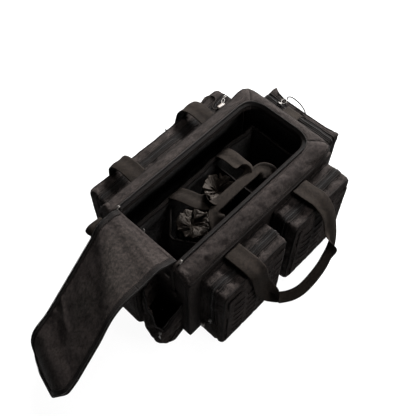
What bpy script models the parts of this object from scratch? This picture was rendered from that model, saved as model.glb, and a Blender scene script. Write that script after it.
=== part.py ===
"""A soft gear bag with its lid thrown open, a lift-out tote inside it and zipped pockets on all sides.

Metres, +Z up. The origin is the middle of the base. The lid is hinged at the near end, -X. The front
pouches are on -Y, the back pocket on +Y and the far end pocket on +X.
"""

import math

import bmesh
import bpy
from mathutils import Matrix, Vector

# Driving dimensions of the main bag
HALF_LENGTH = 0.225
HALF_WIDTH = 0.128
RIM_TOP = 0.288
SEAM_TOP = 0.269
RIM_THICKNESS = 0.012
WALL = 0.008
GAP = 0.0003
MOUTH_NEAR = -0.210
MOUTH_FAR = 0.194
MOUTH_HALF_WIDTH = 0.081
MOUTH_CORNER = 0.037
BOARD_TOP = 0.0113

# Lid: where it is hinged, and its folds as (distance at the back edge, at the front edge, degrees)
LID_HINGE = Vector((MOUTH_NEAR, 0.0, 0.292))
LID_RISE = 28.0
LID_LENGTH = 0.402
LID_HALF_WIDTH = 0.0825
LID_CORNER = 0.040
LID_THICKNESS = 0.004
LID_FOLDS = ((0.022, 0.056, 30.5), (0.051, 0.162, 32.0), (0.310, 0.353, 41.0))
FOLD_CLEARANCE = 0.002

# Pockets, as the lowest and highest corners of each
POUCH_NEAR = ((-0.193, -0.194, 0.007), (-0.004, -HALF_WIDTH - GAP, 0.245))
POUCH_FAR = ((0.026, -0.194, 0.007), (0.208, -HALF_WIDTH - GAP, 0.245))
BACK_POCKET = ((-0.187, HALF_WIDTH + GAP, 0.010), (0.205, 0.196, 0.232))
END_POCKET = ((HALF_LENGTH + GAP, -0.095, 0.010), (0.290, 0.095, 0.232))
NEAR_POCKET = ((-0.285, -0.030, 0.003), (-HALF_LENGTH - GAP, 0.078, 0.185))
TRACK_WIDTH = 0.014
TRACK_THICKNESS = 0.0016
SLIDER = (0.015, 0.009, 0.005)
UPRIGHT_SLIDER = SLIDER[::-1]

# Tote
TOTE_NEAR = -0.190
TOTE_FAR = 0.186
TOTE_HALF_WIDTH = 0.066
TOTE_WALL = 0.005
DIVIDER_THICKNESS = 0.003
TOTE_BOTTOM = 0.0125
TOTE_TOP = 0.2185
DIVIDERS = {"near": -0.149, "far": 0.055}
SATIN_POUCHES = {"near": (-0.098, -0.012), "far": (0.004, 0.008)}
SATIN_RADIUS = 0.040
SATIN_TOP = 0.214

# Webbing and cords
WEBBING = 0.050
WEBBING_THICKNESS = 0.003
GRIP_THICKNESS = 0.005
HANDLE_HEIGHT = 0.258
HANDLE_PIVOT_Y = HALF_WIDTH + 0.0035
CORD = 0.003

XY = Matrix.Identity(3)
YZ = Matrix(((0, 0, 1), (1, 0, 0), (0, 1, 0)))
XZ = Matrix(((1, 0, 0), (0, 0, -1), (0, 1, 0)))


def clear_scene():
    for old in list(bpy.data.objects):
        bpy.data.objects.remove(old, do_unlink=True)


def new_collection(name):
    made = bpy.data.collections.new(name)
    bpy.context.scene.collection.children.link(made)
    return made


def material(name, color, roughness, metallic=0.0):
    made = bpy.data.materials.new(name)
    made.use_nodes = True
    shader = made.node_tree.nodes["Principled BSDF"]
    shader.inputs["Base Color"].default_value = (*color, 1.0)
    shader.inputs["Roughness"].default_value = roughness
    shader.inputs["Metallic"].default_value = metallic
    made.diffuse_color = (*color, 1.0)
    return made


def add(name, data, look, pivot=(0.0, 0.0, 0.0)):
    """Adds an object whose data is in world coordinates, and puts its origin at the pivot."""
    made = bpy.data.objects.new(name, data)
    if any(pivot):
        data.transform(Matrix.Translation(-Vector(pivot)))
        made.location = pivot
    data.materials.append(LOOKS[look])
    BAG.objects.link(made)
    return made


def round_edges(made, width, segments=2):
    bevel = made.modifiers.new("rounded", "BEVEL")
    bevel.width = width
    bevel.segments = segments
    bevel.limit_method = "ANGLE"
    return made


def box(name, low, high, look, bevel=0.0, segments=2, pivot=(0.0, 0.0, 0.0)):
    """A box between two corners."""
    low, high = Vector(low), Vector(high)
    shape = bmesh.new()
    bmesh.ops.create_cube(shape, size=1.0)
    size = high - low
    bmesh.ops.scale(shape, vec=size, verts=shape.verts)
    bmesh.ops.translate(shape, vec=(low + high) / 2, verts=shape.verts)
    mesh = bpy.data.meshes.new(name)
    shape.to_mesh(mesh)
    shape.free()
    made = add(name, mesh, look, pivot)
    return round_edges(made, bevel, segments) if bevel else made


def box_at(name, centre, size, look, bevel=0.0, segments=2, pivot=(0.0, 0.0, 0.0)):
    half = Vector(size) / 2
    return box(name, Vector(centre) - half, Vector(centre) + half, look, bevel, segments, pivot)


def arc(centre, radius, start, end, steps):
    """Points on an arc in the plane, angles in degrees."""
    angles = [math.radians(start + (end - start) * i / steps) for i in range(steps + 1)]
    return [(centre[0] + radius * math.cos(a), centre[1] + radius * math.sin(a)) for a in angles]


def plate(name, outline, low, high, look, plane=XY):
    """A flat outline extruded from low to high along the plane's normal."""
    curve = bpy.data.curves.new(name, "CURVE")
    curve.dimensions = "2D"
    curve.fill_mode = "BOTH"
    curve.extrude = (high - low) / 2
    spline = curve.splines.new("POLY")
    spline.points.add(len(outline) - 1)
    for point, (u, v) in zip(spline.points, outline):
        point.co = (u, v, 0.0, 1.0)
    spline.use_cyclic_u = True
    made = add(name, curve, look)
    made.rotation_euler = plane.to_euler()
    made.location = plane @ Vector((0.0, 0.0, (low + high) / 2))
    return made


def smooth_path(points, step):
    """Points about one step apart on a smooth curve through the given points."""
    points = [Vector(p) for p in points]
    ends = [2 * points[0] - points[1], *points, 2 * points[-1] - points[-2]]
    made = []
    for a, b, c, d in zip(ends, ends[1:], ends[2:], ends[3:]):
        count = max(1, round((c - b).length / step))
        for i in range(count):
            t = i / count
            made.append(
                0.5 * (2 * b + (c - a) * t + (2 * a - 5 * b + 4 * c - d) * t * t
                       + (3 * b - a - 3 * c + d) * t ** 3)
            )
    return [*made, points[-1]]


def cord(name, points, look="cord", thickness=CORD):
    """A round cord along a smooth curve through the points."""
    curve = bpy.data.curves.new(name, "CURVE")
    curve.dimensions = "3D"
    curve.bevel_depth = thickness / 2
    curve.bevel_resolution = 2
    curve.use_fill_caps = True
    route = smooth_path(points, 2.5 * thickness)
    spline = curve.splines.new("POLY")
    spline.points.add(len(route) - 1)
    for point, place in zip(spline.points, route):
        point.co = (*place, 1.0)
    return add(name, curve, look)


def strap(name, stations, look, pivot=(0.0, 0.0, 0.0)):
    """A flat strap lofted through stations of (centre, across, width, thickness)."""
    shape = bmesh.new()
    centres = [Vector(station[0]) for station in stations]
    rings = []
    for i, (centre, across, width, thickness) in enumerate(stations):
        before = centres[max(i - 1, 0)]
        after = centres[min(i + 1, len(centres) - 1)]
        tangent = (after - before).normalized()
        side = Vector(across)
        side = (side - side.dot(tangent) * tangent).normalized() * width / 2
        up = tangent.cross(side).normalized() * thickness / 2
        corners = (side + up, -side + up, -side - up, side - up)
        rings.append([shape.verts.new(Vector(centre) + corner) for corner in corners])
    for ring, following in zip(rings, rings[1:]):
        for i in range(4):
            j = (i + 1) % 4
            shape.faces.new((ring[i], ring[j], following[j], following[i]))
    shape.faces.new(rings[0][::-1])
    shape.faces.new(rings[-1])
    bmesh.ops.recalc_face_normals(shape, faces=shape.faces)
    mesh = bpy.data.meshes.new(name)
    shape.to_mesh(mesh)
    shape.free()
    return add(name, mesh, look, pivot)


def turned(name, profile, centre, look, steps=20):
    """A profile of (radius, height), top to bottom down its outer side, turned about a vertical axis."""
    mesh = bpy.data.meshes.new(name)
    points = [(radius, 0.0, height) for radius, height in profile]
    mesh.from_pydata(points, [(i, i + 1) for i in range(len(points) - 1)], [])
    made = add(name, mesh, look)
    made.location = (*centre, 0.0)
    screw = made.modifiers.new("turned", "SCREW")
    screw.steps = steps
    screw.render_steps = steps
    screw.use_merge_vertices = True
    screw.merge_threshold = 0.00005
    return made


def ring(name, centre, radius, thickness, look, plane=XY, steps=16, pivot=(0.0, 0.0, 0.0)):
    """A ring of round wire about the plane's normal."""
    mesh = bpy.data.meshes.new(name)
    shape = bmesh.new()
    rows = []
    for i in range(steps):
        turn = Matrix.Rotation(2 * math.pi * i / steps, 3, "Z")
        row = []
        for u, v in arc((radius, 0.0), thickness / 2, 0.0, 300.0, 5):
            row.append(shape.verts.new(plane @ (turn @ Vector((u, 0.0, v))) + Vector(centre)))
        rows.append(row)
    for i, row in enumerate(rows):
        following = rows[(i + 1) % steps]
        for j in range(6):
            k = (j + 1) % 6
            shape.faces.new((row[j], following[j], following[k], row[k]))
    bmesh.ops.recalc_face_normals(shape, faces=shape.faces)
    shape.to_mesh(mesh)
    shape.free()
    return add(name, mesh, look, pivot)


def build_shell():
    """Base, board, walls, shoulders and rims, each its own panel."""
    inner_x = HALF_LENGTH - WALL
    inner_y = HALF_WIDTH - WALL
    box("base_panel", (-HALF_LENGTH, -HALF_WIDTH, 0.0), (HALF_LENGTH, HALF_WIDTH, WALL), "nylon", 0.002)
    board_near = (MOUTH_NEAR + GAP, -inner_y + GAP, WALL + GAP)
    box("base_board", board_near, (inner_x - GAP, inner_y - GAP, BOARD_TOP), "board")
    wall_top = SEAM_TOP - RIM_THICKNESS - GAP
    for name, sign in (("front_wall", -1), ("back_wall", 1)):
        low, high = sorted((sign * inner_y, sign * HALF_WIDTH))
        box(name, (-HALF_LENGTH, low, WALL + GAP), (HALF_LENGTH, high, wall_top), "nylon", 0.002)
    rim_inner = MOUTH_HALF_WIDTH - GAP
    rim_low = RIM_TOP - RIM_THICKNESS
    slope = (RIM_TOP - SEAM_TOP) / (HALF_WIDTH - MOUTH_HALF_WIDTH)
    seam_side = wall_top + slope * WALL - GAP
    end_outline = (
        (-inner_y + GAP, WALL + GAP), (inner_y - GAP, WALL + GAP), (inner_y - GAP, seam_side),
        (rim_inner, rim_low - 2 * GAP), (-rim_inner, rim_low - 2 * GAP), (-inner_y + GAP, seam_side),
    )
    near_outline = [(y, z + RIM_THICKNESS + GAP if z > rim_low - 0.001 else z) for y, z in end_outline]
    near_outline.insert(3, (rim_inner, rim_low - 2 * GAP))
    near_outline.insert(6, (-rim_inner, rim_low - 2 * GAP))
    plate("near_wall", near_outline, -HALF_LENGTH, MOUTH_NEAR, "nylon", YZ)
    plate("far_wall", end_outline, inner_x, HALF_LENGTH, "nylon", YZ)
    for name, sign in (("front_shoulder", -1), ("back_shoulder", 1)):
        section = [
            (sign * HALF_WIDTH, SEAM_TOP - RIM_THICKNESS), (sign * HALF_WIDTH, SEAM_TOP),
            (sign * MOUTH_HALF_WIDTH, RIM_TOP), (sign * MOUTH_HALF_WIDTH, rim_low),
        ]
        plate(name, section, -HALF_LENGTH, HALF_LENGTH, "nylon", YZ)
    fillet = (MOUTH_FAR - MOUTH_CORNER, MOUTH_HALF_WIDTH - MOUTH_CORNER)
    corner = [p for p in arc(fillet, MOUTH_CORNER, 0, 84, 6) if p[1] < rim_inner]
    far_outline = [(HALF_LENGTH, -rim_inner), (HALF_LENGTH, rim_inner), (corner[-1][0], rim_inner)]
    far_outline += corner[::-1]
    far_outline += [(x, -y) for x, y in corner]
    far_outline += [(corner[-1][0], -rim_inner)]
    plate("far_rim", far_outline, rim_low, RIM_TOP, "nylon")


def build_main_zipper():
    """The track on three sides of the mouth, and the two sliders with their webbing pulls."""
    inner, outer = MOUTH_HALF_WIDTH + 0.001, MOUTH_HALF_WIDTH + 0.011
    centre_x = MOUTH_FAR - MOUTH_CORNER
    centre_y = MOUTH_HALF_WIDTH - MOUTH_CORNER
    start = MOUTH_NEAR + 0.002
    outside = [(start, -outer), *arc((centre_x, -centre_y), outer - centre_y, -90, 0, 6),
               *arc((centre_x, centre_y), outer - centre_y, 0, 90, 6), (start, outer)]
    inside = [(start, inner), *arc((centre_x, centre_y), inner - centre_y, 90, 0, 6),
              *arc((centre_x, -centre_y), inner - centre_y, 0, -90, 6), (start, -inner)]
    track_top = RIM_TOP + GAP + TRACK_THICKNESS
    plate("main_zipper_track", outside + inside, RIM_TOP + GAP, track_top, "zipper")
    for side, sign in (("front", -1), ("back", 1)):
        centre = (MOUTH_NEAR + 0.010, sign * 0.0885, track_top + GAP + SLIDER[2] / 2)
        box_at(f"main_slider_{side}", centre, (SLIDER[0], 0.008, SLIDER[2]), "metal", 0.001, 1, centre)
        x = -HALF_LENGTH - 0.004
        top = centre[2] + 0.001
        stations = [
            ((centre[0] - 0.008, centre[1], top), (0, 1, 0), 0.008, 0.002),
            ((x + 0.004, centre[1], top), (0, 1, 0), 0.010, 0.002),
            ((x, centre[1], top - 0.005), (0, 1, 0), 0.010, 0.002),
            ((x, centre[1], top - 0.090), (0, 1, 0), 0.010, 0.002),
            ((x, centre[1], top - 0.094), (0, 1, 0), 0.014, 0.005),
            ((x, centre[1], top - 0.116), (0, 1, 0), 0.014, 0.005),
        ]
        strap(f"main_pull_{side}", stations, "webbing", centre)


def fold_matrix(back, front, degrees):
    """The middle of a fold line across the flat lid, and the turn about that line."""
    middle = Vector((-(back + front) / 2, 0.0, 0.0))
    axis = Vector((front - back, 2 * LID_HALF_WIDTH, 0.0)).normalized()
    return middle, Matrix.Rotation(math.radians(-degrees), 4, axis)


def empty(name, parent, location, rotation):
    made = bpy.data.objects.new(name, None)
    BAG.objects.link(made)
    made.parent = parent
    made.location = location
    made.rotation_euler = rotation.to_euler()
    return made


def build_lid():
    """Four flat stretches, each on the fold line of the one before it."""
    half = LID_HALF_WIDTH
    names = ("lid_hinge_panel", "lid_bend_panel", "lid_main_panel", "lid_tip_panel")
    clear = FOLD_CLEARANCE
    starts = [(0.003, 0.003)] + [(back + clear, front + clear) for back, front, _ in LID_FOLDS]
    ends = [(back - clear, front - clear) for back, front, _ in LID_FOLDS] + [None]
    holder = empty("lid_hinge_axis", None, LID_HINGE, Matrix.Rotation(math.radians(LID_RISE), 4, "Y"))
    origin = Vector()
    for index, name in enumerate(names):
        if index:
            middle, turn = fold_matrix(*LID_FOLDS[index - 1])
            holder = empty(f"lid_fold_{index}_axis", holder, middle - origin, turn)
            origin = middle
        outline = [(-starts[index][0], half), (-starts[index][1], -half)]
        if ends[index]:
            outline += [(-ends[index][1], -half), (-ends[index][0], half)]
        else:
            corner = (-LID_LENGTH + LID_CORNER, half - LID_CORNER)
            outline += arc((corner[0], -corner[1]), LID_CORNER, 270, 180, 6)
            outline += arc(corner, LID_CORNER, 180, 90, 6)
        panel = plate(name, outline, -LID_THICKNESS, 0.0, "nylon")
        panel.parent = holder
        panel.location = Vector((0.0, 0.0, -LID_THICKNESS / 2)) - origin


def handle_stations(route):
    """Stations of a handle from (x, y, z, across, width) in millimetres."""
    grip = WEBBING * 0.62
    return [
        (Vector((x, y, z)) / 1000, across, width / 1000,
         GRIP_THICKNESS if width / 1000 < grip else WEBBING_THICKNESS)
        for x, y, z, across, width in route
    ]


def build_handles():
    """Each handle leaves its two feet, crosses the pockets and hangs over their outer edge."""
    full = WEBBING * 1000
    inward, outward = (1, 0, 0), (-1, 0, 0)
    front = [
        (-107, -130.5, 258, inward, full), (-107.5, -160, 257, inward, full), (-108, -188, 254, inward, full),
        (-107, -206, 238, inward, full), (-104, -214, 205, inward, full), (-99, -217, 172, inward, full),
        (-88, -226, 142, (0.8, 0.1, 0.6), 42), (-66, -248, 124, (0.3, 0.5, 0.8), 30),
        (-30, -272, 119, (0, 0.75, 0.65), 26), (15, -284, 124, (0, 0.75, 0.65), 25),
        (60, -277, 142, (-0.1, 0.7, 0.65), 26), (98, -256, 172, (-0.35, 0.6, 0.7), 28),
        (122, -234, 206, (-0.75, 0.3, 0.6), 36), (128, -214, 237, (-0.95, 0, 0.25), 46),
        (122, -192, 256, outward, full), (107, -152, 258.5, outward, full),
        (106.5, -130.5, 258, outward, full),
    ]
    back = [
        (105, 130.5, 258, outward, full), (105, 160, 262, outward, full), (104, 186, 258, outward, full),
        (102, 204, 240, outward, full), (99, 212, 205, outward, full), (95, 215, 172, outward, full),
        (80, 222, 142, (-0.8, -0.1, 0.6), 40), (52, 231, 124, (-0.2, -0.2, 0.9), 28),
        (12, 236, 116, (0, -0.3, 0.95), 25), (-32, 236, 116, (0, -0.3, 0.95), 25),
        (-68, 231, 124, (0.2, -0.2, 0.9), 28), (-94, 222, 142, (0.8, -0.1, 0.6), 40),
        (-107, 215, 172, inward, full), (-111, 212, 205, inward, full), (-113, 204, 240, inward, full),
        (-113, 186, 258, inward, full), (-112.5, 160, 262, inward, full), (-112, 130.5, 258, inward, full),
    ]
    for name, sign, route in (("front_handle", -1, front), ("back_handle", 1, back)):
        strap(name, handle_stations(route), "webbing", (0.0, sign * HANDLE_PIVOT_Y, HANDLE_HEIGHT))


def track_over(name, low, high, along, place, drop):
    """A zipper track over the top of a pocket and down its two ends.

    It runs along X or Y at the given place on the other axis, and stops at the height drop.
    """
    off = GAP + TRACK_THICKNESS / 2
    axis = 0 if along == "X" else 1
    first, last, top = low[axis] - off, high[axis] + off, high[2] + off
    soft = 0.006
    route = [(first, drop), (first, top - soft), (first + soft * 0.3, top - soft * 0.3), (first + soft, top),
             (last - soft, top), (last - soft * 0.3, top - soft * 0.3), (last, top - soft), (last, drop)]
    across = (0, 1, 0) if along == "X" else (1, 0, 0)
    stations = []
    for u, z in route:
        centre = (u, place, z) if along == "X" else (place, u, z)
        stations.append((centre, across, TRACK_WIDTH, TRACK_THICKNESS))
    return strap(name, stations, "zipper")


def build_front_pouches():
    for side, (low, high), end in (("near", POUCH_NEAR, -1), ("far", POUCH_FAR, 1)):
        box(f"front_pouch_{side}", low, high, "nylon", 0.007)
        inset = 0.010
        box(f"slotted_panel_{side}", (low[0] + inset, low[1] - GAP - 0.0026, 0.030),
            (high[0] - inset, low[1] - GAP, 0.222), "webbing", 0.001, 1)
        middle = (low[1] + high[1]) / 2
        track_over(f"front_pouch_{side}_zipper", low, high, "X", middle, 0.080)
        edge = low[0] if end < 0 else high[0]
        centre = (edge + end * (2 * GAP + TRACK_THICKNESS + SLIDER[2] / 2), middle, 0.104)
        box_at(f"front_pouch_{side}_slider", centre, UPRIGHT_SLIDER, "metal", 0.001, 1, centre)


def build_back_pocket():
    low, high = BACK_POCKET
    box("back_pocket", low, high, "nylon", 0.007)
    middle = (low[1] + high[1]) / 2
    track_over("back_pocket_zipper", low, high, "X", middle, 0.060)
    centre = (0.192, middle, high[2] + 2 * GAP + TRACK_THICKNESS + SLIDER[2] / 2)
    box_at("back_pocket_slider", centre, SLIDER, "metal", 0.001, 1, centre)


def build_far_end():
    """The far end pocket with its track, slider, split ring and stitched webbing tab."""
    low, high = END_POCKET
    box("far_end_pocket", low, high, "nylon", 0.007)
    track_at = 0.268
    track_over("far_end_zipper", low, high, "Y", track_at, 0.080)
    top = high[2] + 2 * GAP + TRACK_THICKNESS
    centre = (track_at, 0.056, top + SLIDER[2] / 2)
    box_at("far_end_slider", centre, (SLIDER[1], SLIDER[0], SLIDER[2]), "metal", 0.001, 1, centre)
    ring_centre = (track_at + 0.0125, 0.052, top + 0.0022)
    ring("far_end_ring", ring_centre, 0.0062, 0.0016, "metal", pivot=(track_at + 0.0050, 0.052, top + 0.0022))
    tab = [(0.2265, 0.2440), (0.238, 0.2475), (0.250, 0.2460), (0.262, 0.2425), (0.272, 0.2405)]
    strap("far_end_tab", [((x, 0.012, z), (0, 1, 0), WEBBING, 0.0045) for x, z in tab], "webbing")


def build_near_end():
    """The near end pocket, whose front half is unzipped and sags, and the tab at the corner."""
    low, high = NEAR_POCKET
    box("near_end_pocket", low, high, "nylon", 0.007)
    hinge = Vector((-HALF_LENGTH - 0.0012, 0.0, 0.0075))
    front, back = -0.117, -0.034
    skin = 0.004
    foot = hinge.x - 0.052
    lip = hinge.x - 0.062
    mouth = 0.150
    cheek = [
        (hinge.x, hinge.z), (foot, hinge.z + 0.003), (foot - 0.008, 0.040), (lip, 0.090),
        (lip + 0.002, mouth), (lip + 0.014, mouth - 0.004), (hinge.x - 0.004, 0.016),
    ]
    shell = [
        (hinge.x, hinge.z - 0.0045), (foot - 0.001, hinge.z - 0.0015), (foot - 0.012, 0.040),
        (lip - 0.004, 0.090), (lip - 0.002, mouth + 0.004),
        (lip + 0.0017, mouth + 0.004), (lip - 0.0003, 0.090), (foot - 0.0083, 0.040),
        (foot, hinge.z + 0.0027), (hinge.x, hinge.z - 0.0003),
    ]
    sag = plate("near_pocket_front", shell, -back, -front, "nylon", XZ)
    set_origin(sag, hinge)
    side = plate("near_pocket_cheek", cheek, -front - GAP - skin, -front - GAP, "nylon", XZ)
    set_origin(side, hinge)
    centre = (lip - 0.0075, -0.098, 0.070)
    box_at("near_pocket_slider", centre, UPRIGHT_SLIDER, "metal", 0.001, 1, centre)
    tab = [(-0.2256, 0.198), (-0.2256, 0.226), (-0.260, 0.229), (-0.272, 0.217), (-0.262, 0.200)]
    plate("corner_tab", tab, -0.136, -0.110, "webbing", XZ)


def set_origin(made, place):
    """Moves an unparented object's origin to a place, leaving its shape where it is."""
    place = Vector(place)
    turn = made.rotation_euler.to_matrix().to_4x4()
    world = Matrix.Translation(made.location) @ turn
    made.data.transform((Matrix.Translation(place) @ turn).inverted() @ world)
    made.location = place


def build_tote():
    """The lift-out tote, on an origin at its floor's middle."""
    half, wall = TOTE_HALF_WIDTH, TOTE_WALL
    pivot = (0.0, 0.0, TOTE_BOTTOM)
    floor_top = TOTE_BOTTOM + wall
    low = floor_top + GAP
    box("tote_floor", (TOTE_NEAR, -half, TOTE_BOTTOM), (TOTE_FAR, half, floor_top), "lining", 0.001, 1, pivot)
    for name, sign in (("tote_front_wall", -1), ("tote_back_wall", 1)):
        first, last = sorted((sign * half, sign * (half - wall)))
        box(name, (TOTE_NEAR, first, low), (TOTE_FAR, last, TOTE_TOP), "lining", 0.001, 1, pivot)
    inner = half - wall - GAP
    for name, x, top in (("tote_near_wall", TOTE_NEAR, 0.200), ("tote_far_wall", TOTE_FAR - wall, TOTE_TOP)):
        box(name, (x, -inner, low), (x + wall, inner, top), "lining", 0.001, 1, pivot)
    for name, x in DIVIDERS.items():
        thick = DIVIDER_THICKNESS / 2
        box(f"tote_divider_{name}", (x - thick, -inner, low), (x + thick, inner, 0.198), "lining", 0.0005, 1,
            pivot)
    rim = TOTE_TOP + 0.0035
    back = [
        (-67, 64, rim * 1000, (1, 0, 0), 42), (-66.5, 50, 233, (1, 0, 0), 42),
        (-58, 30, 240, (1, 0.3, 0), 38), (-46, 5, 243, (0.9, 0.5, 0), 30),
        (-24, -10, 244, (0.2, 1, 0), 24), (18, -12, 244, (0, 1, 0), 22),
        (58, -10, 244, (-0.2, 1, 0), 24), (78, 5, 243, (-0.9, 0.5, 0), 30), (84, 30, 240, (-1, 0.2, 0), 38),
        (85, 50, 233, (-1, 0, 0), 42), (85, 64, rim * 1000, (-1, 0, 0), 42),
    ]
    front = [
        (-77, -64, rim * 1000, (1, 0, 0), 42), (-76.5, -58, 230, (1, 0, 0), 40),
        (-64, -52, 239, (0.9, -0.4, 0), 32),
        (-40, -44, 245, (0.5, -0.9, 0), 25), (-14, -38, 247, (0, -1, 0), 22), (22, -38, 247, (0, -1, 0), 22),
        (62, -42, 246, (-0.4, -0.9, 0), 24), (98, -52, 240, (-0.9, -0.4, 0), 32),
        (118.5, -58, 231, (-1, 0, 0), 40), (119, -64, rim * 1000, (-1, 0, 0), 42),
    ]
    for name, sign, route in (("tote_handle_back", 1, back), ("tote_handle_front", -1, front)):
        strap(name, handle_stations(route), "webbing", (0.0, sign * 0.064, rim))


def build_satin_pouches():
    floor = TOTE_BOTTOM + TOTE_WALL + 2 * GAP
    neck, radius = SATIN_TOP - 0.013, SATIN_RADIUS
    profile = [
        (0.0, neck - 0.004), (0.007, neck - 0.002), (0.010, neck + 0.004), (0.020, SATIN_TOP),
        (0.026, SATIN_TOP - 0.001), (0.018, neck), (0.028, neck - 0.010), (0.036, neck - 0.022),
        (radius, neck - 0.045), (radius, floor + 0.008), (radius - 0.006, floor), (0.0, floor),
    ]
    for side, (x, y) in SATIN_POUCHES.items():
        turned(f"satin_pouch_{side}", profile, (x, y), "satin")
        centre = (x, y, neck - 0.0005)
        ring(f"drawstring_{side}", centre, 0.0202, 0.0024, "cord", steps=20, pivot=centre)


def build_cords():
    """The pull cords, and the cord locks and the end piece that are on them."""
    top = END_POCKET[1][2]
    cord("far_end_cord", [
        (0.2893, 0.0500, top + 0.0045), (0.2960, 0.0525, top + 0.0060), (0.3005, 0.0450, top + 0.0075),
        (0.3000, 0.0300, top + 0.0080), (0.2970, 0.0150, top + 0.0080), (0.2915, 0.0000, top + 0.0060),
        (0.2845, -0.0100, top + 0.0040), (0.2760, -0.0165, top + 0.0030),
    ])
    top = BACK_POCKET[1][2]
    box_at("back_cord_lock", (0.166, 0.1480, top + 0.006), (0.022, 0.011, 0.008), "cord_lock", 0.002, 2)
    cord("back_cord", [
        (0.1540, 0.1490, top + 0.0060), (0.1475, 0.1530, top + 0.0060), (0.1480, 0.1590, top + 0.0075),
        (0.1570, 0.1640, top + 0.0085), (0.1700, 0.1690, top + 0.0070), (0.1770, 0.1790, top + 0.0045),
        (0.1730, 0.1885, top + 0.0050), (0.1620, 0.1925, top + 0.0060),
    ])
    strap("back_cord_end", [((x, y, top + 0.0060), (0, 0, 1), 0.006, 0.006)
                            for x, y in ((0.1600, 0.1925), (0.1380, 0.1850))], "cord")
    x = POUCH_NEAR[0][0] - 0.0055
    cord("pouch_cord", [(x, -0.1610, 0.0950), (x, -0.1600, 0.0880), (x - 0.0005, -0.1540, 0.0790),
                        (x - 0.0005, -0.1460, 0.0720), (x, -0.1420, 0.0640), (x, -0.1410, 0.0575)])
    box_at("pouch_cord_lock", (x, -0.1410, 0.0470), (0.008, 0.011, 0.020), "cord_lock", 0.002, 2)


def main():
    build_shell()
    build_main_zipper()
    build_lid()
    build_handles()
    build_front_pouches()
    build_back_pocket()
    build_far_end()
    build_near_end()
    build_tote()
    build_satin_pouches()
    build_cords()


clear_scene()
BAG = new_collection("flight_bag")
LOOKS = {
    "nylon": material("nylon", (0.020, 0.018, 0.018), 0.85),
    "webbing": material("webbing", (0.026, 0.023, 0.021), 0.80),
    "zipper": material("zipper", (0.012, 0.011, 0.012), 0.60),
    "lining": material("lining", (0.012, 0.013, 0.016), 0.85),
    "satin": material("satin", (0.022, 0.020, 0.021), 0.35),
    "metal": material("metal", (0.55, 0.53, 0.50), 0.28, 1.0),
    "board": material("board", (0.015, 0.015, 0.016), 0.50),
    "cord": material("cord", (0.015, 0.014, 0.013), 0.70),
    "cord_lock": material("cord_lock", (0.42, 0.39, 0.36), 0.45),
}
main()
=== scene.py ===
"""The looks of the soft gear bag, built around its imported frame. Metres, +Z up, as the frame.

The lid is hinged at -X, the front pouches are on -Y, the back pocket is on +Y. Soft panels are made as
grids, puckered by a short cloth simulation, and then get their piping, zippers and stitches laid on them.
"""

import math

import bmesh
import bpy
import numpy as np
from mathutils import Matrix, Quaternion, Vector, noise
from mathutils.bvhtree import BVHTree


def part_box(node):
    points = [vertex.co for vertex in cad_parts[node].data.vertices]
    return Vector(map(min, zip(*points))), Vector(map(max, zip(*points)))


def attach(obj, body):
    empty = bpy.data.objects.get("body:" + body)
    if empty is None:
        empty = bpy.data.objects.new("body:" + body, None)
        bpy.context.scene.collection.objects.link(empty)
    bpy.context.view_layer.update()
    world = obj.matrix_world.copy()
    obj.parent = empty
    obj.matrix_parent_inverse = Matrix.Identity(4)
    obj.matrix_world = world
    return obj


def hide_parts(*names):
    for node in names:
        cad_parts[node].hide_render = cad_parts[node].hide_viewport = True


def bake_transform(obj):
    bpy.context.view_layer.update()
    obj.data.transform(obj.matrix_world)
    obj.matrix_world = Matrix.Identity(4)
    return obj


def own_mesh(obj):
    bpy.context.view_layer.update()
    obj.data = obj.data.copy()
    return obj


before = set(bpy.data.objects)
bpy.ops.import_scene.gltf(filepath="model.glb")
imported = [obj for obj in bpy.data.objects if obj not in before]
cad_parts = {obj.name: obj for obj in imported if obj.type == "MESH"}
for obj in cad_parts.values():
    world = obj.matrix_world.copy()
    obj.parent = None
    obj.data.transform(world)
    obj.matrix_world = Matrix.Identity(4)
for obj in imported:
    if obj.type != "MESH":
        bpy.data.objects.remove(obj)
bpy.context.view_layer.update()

UP = np.array((0.0, 0.0, 1.0))
CLOTH_STEPS = 14


# ---------------------------------------------------------------- shapes

def unit(v):
    """The vector, or each row of vectors, at length one."""
    v = np.asarray(v, float)
    return v / np.maximum(np.linalg.norm(v, axis=-1, keepdims=True), 1e-12)


def ease(t):
    """A soft step from 0 to 1."""
    t = np.clip(t, 0.0, 1.0)
    return t * t * (3 - 2 * t)


def bumps(points, scale, seed=0.0):
    """Smooth noise from -1 to 1 at each point."""
    shift = Vector((seed, 1.7 * seed, -seed))
    scale = Vector(np.broadcast_to(scale, 3))
    points = np.asarray(points).reshape(-1, 3)
    return np.array([noise.noise(Vector(p) * scale + shift) for p in points])


def corners(node):
    """The lowest and highest corners of a CAD node."""
    low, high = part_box(node)
    return np.array(low), np.array(high)


def spline(rows, step, closed=False):
    """Rows of values, of which the first three are a place, on a smooth curve about one step apart."""
    rows = np.asarray(rows, float)
    if closed:
        rows = np.vstack([rows[-1:], rows, rows[:2]])
    else:
        rows = np.vstack([2 * rows[:1] - rows[1:2], rows, 2 * rows[-1:] - rows[-2:-1]])
    made = []
    for a, b, c, d in zip(rows, rows[1:], rows[2:], rows[3:]):
        count = max(1, round(np.linalg.norm((c - b)[:3]) / step))
        for t in np.arange(count) / count:
            made.append(0.5 * (2 * b + (c - a) * t + (2 * a - 5 * b + 4 * c - d) * t**2
                               + (3 * b - a - 3 * c + d) * t**3))
    return np.array(made if closed else [*made, rows[-2]])


def distances(path):
    """How far along the path each of its points lies."""
    return np.r_[0, np.cumsum(np.linalg.norm(np.diff(path, axis=0), axis=1))]


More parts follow.
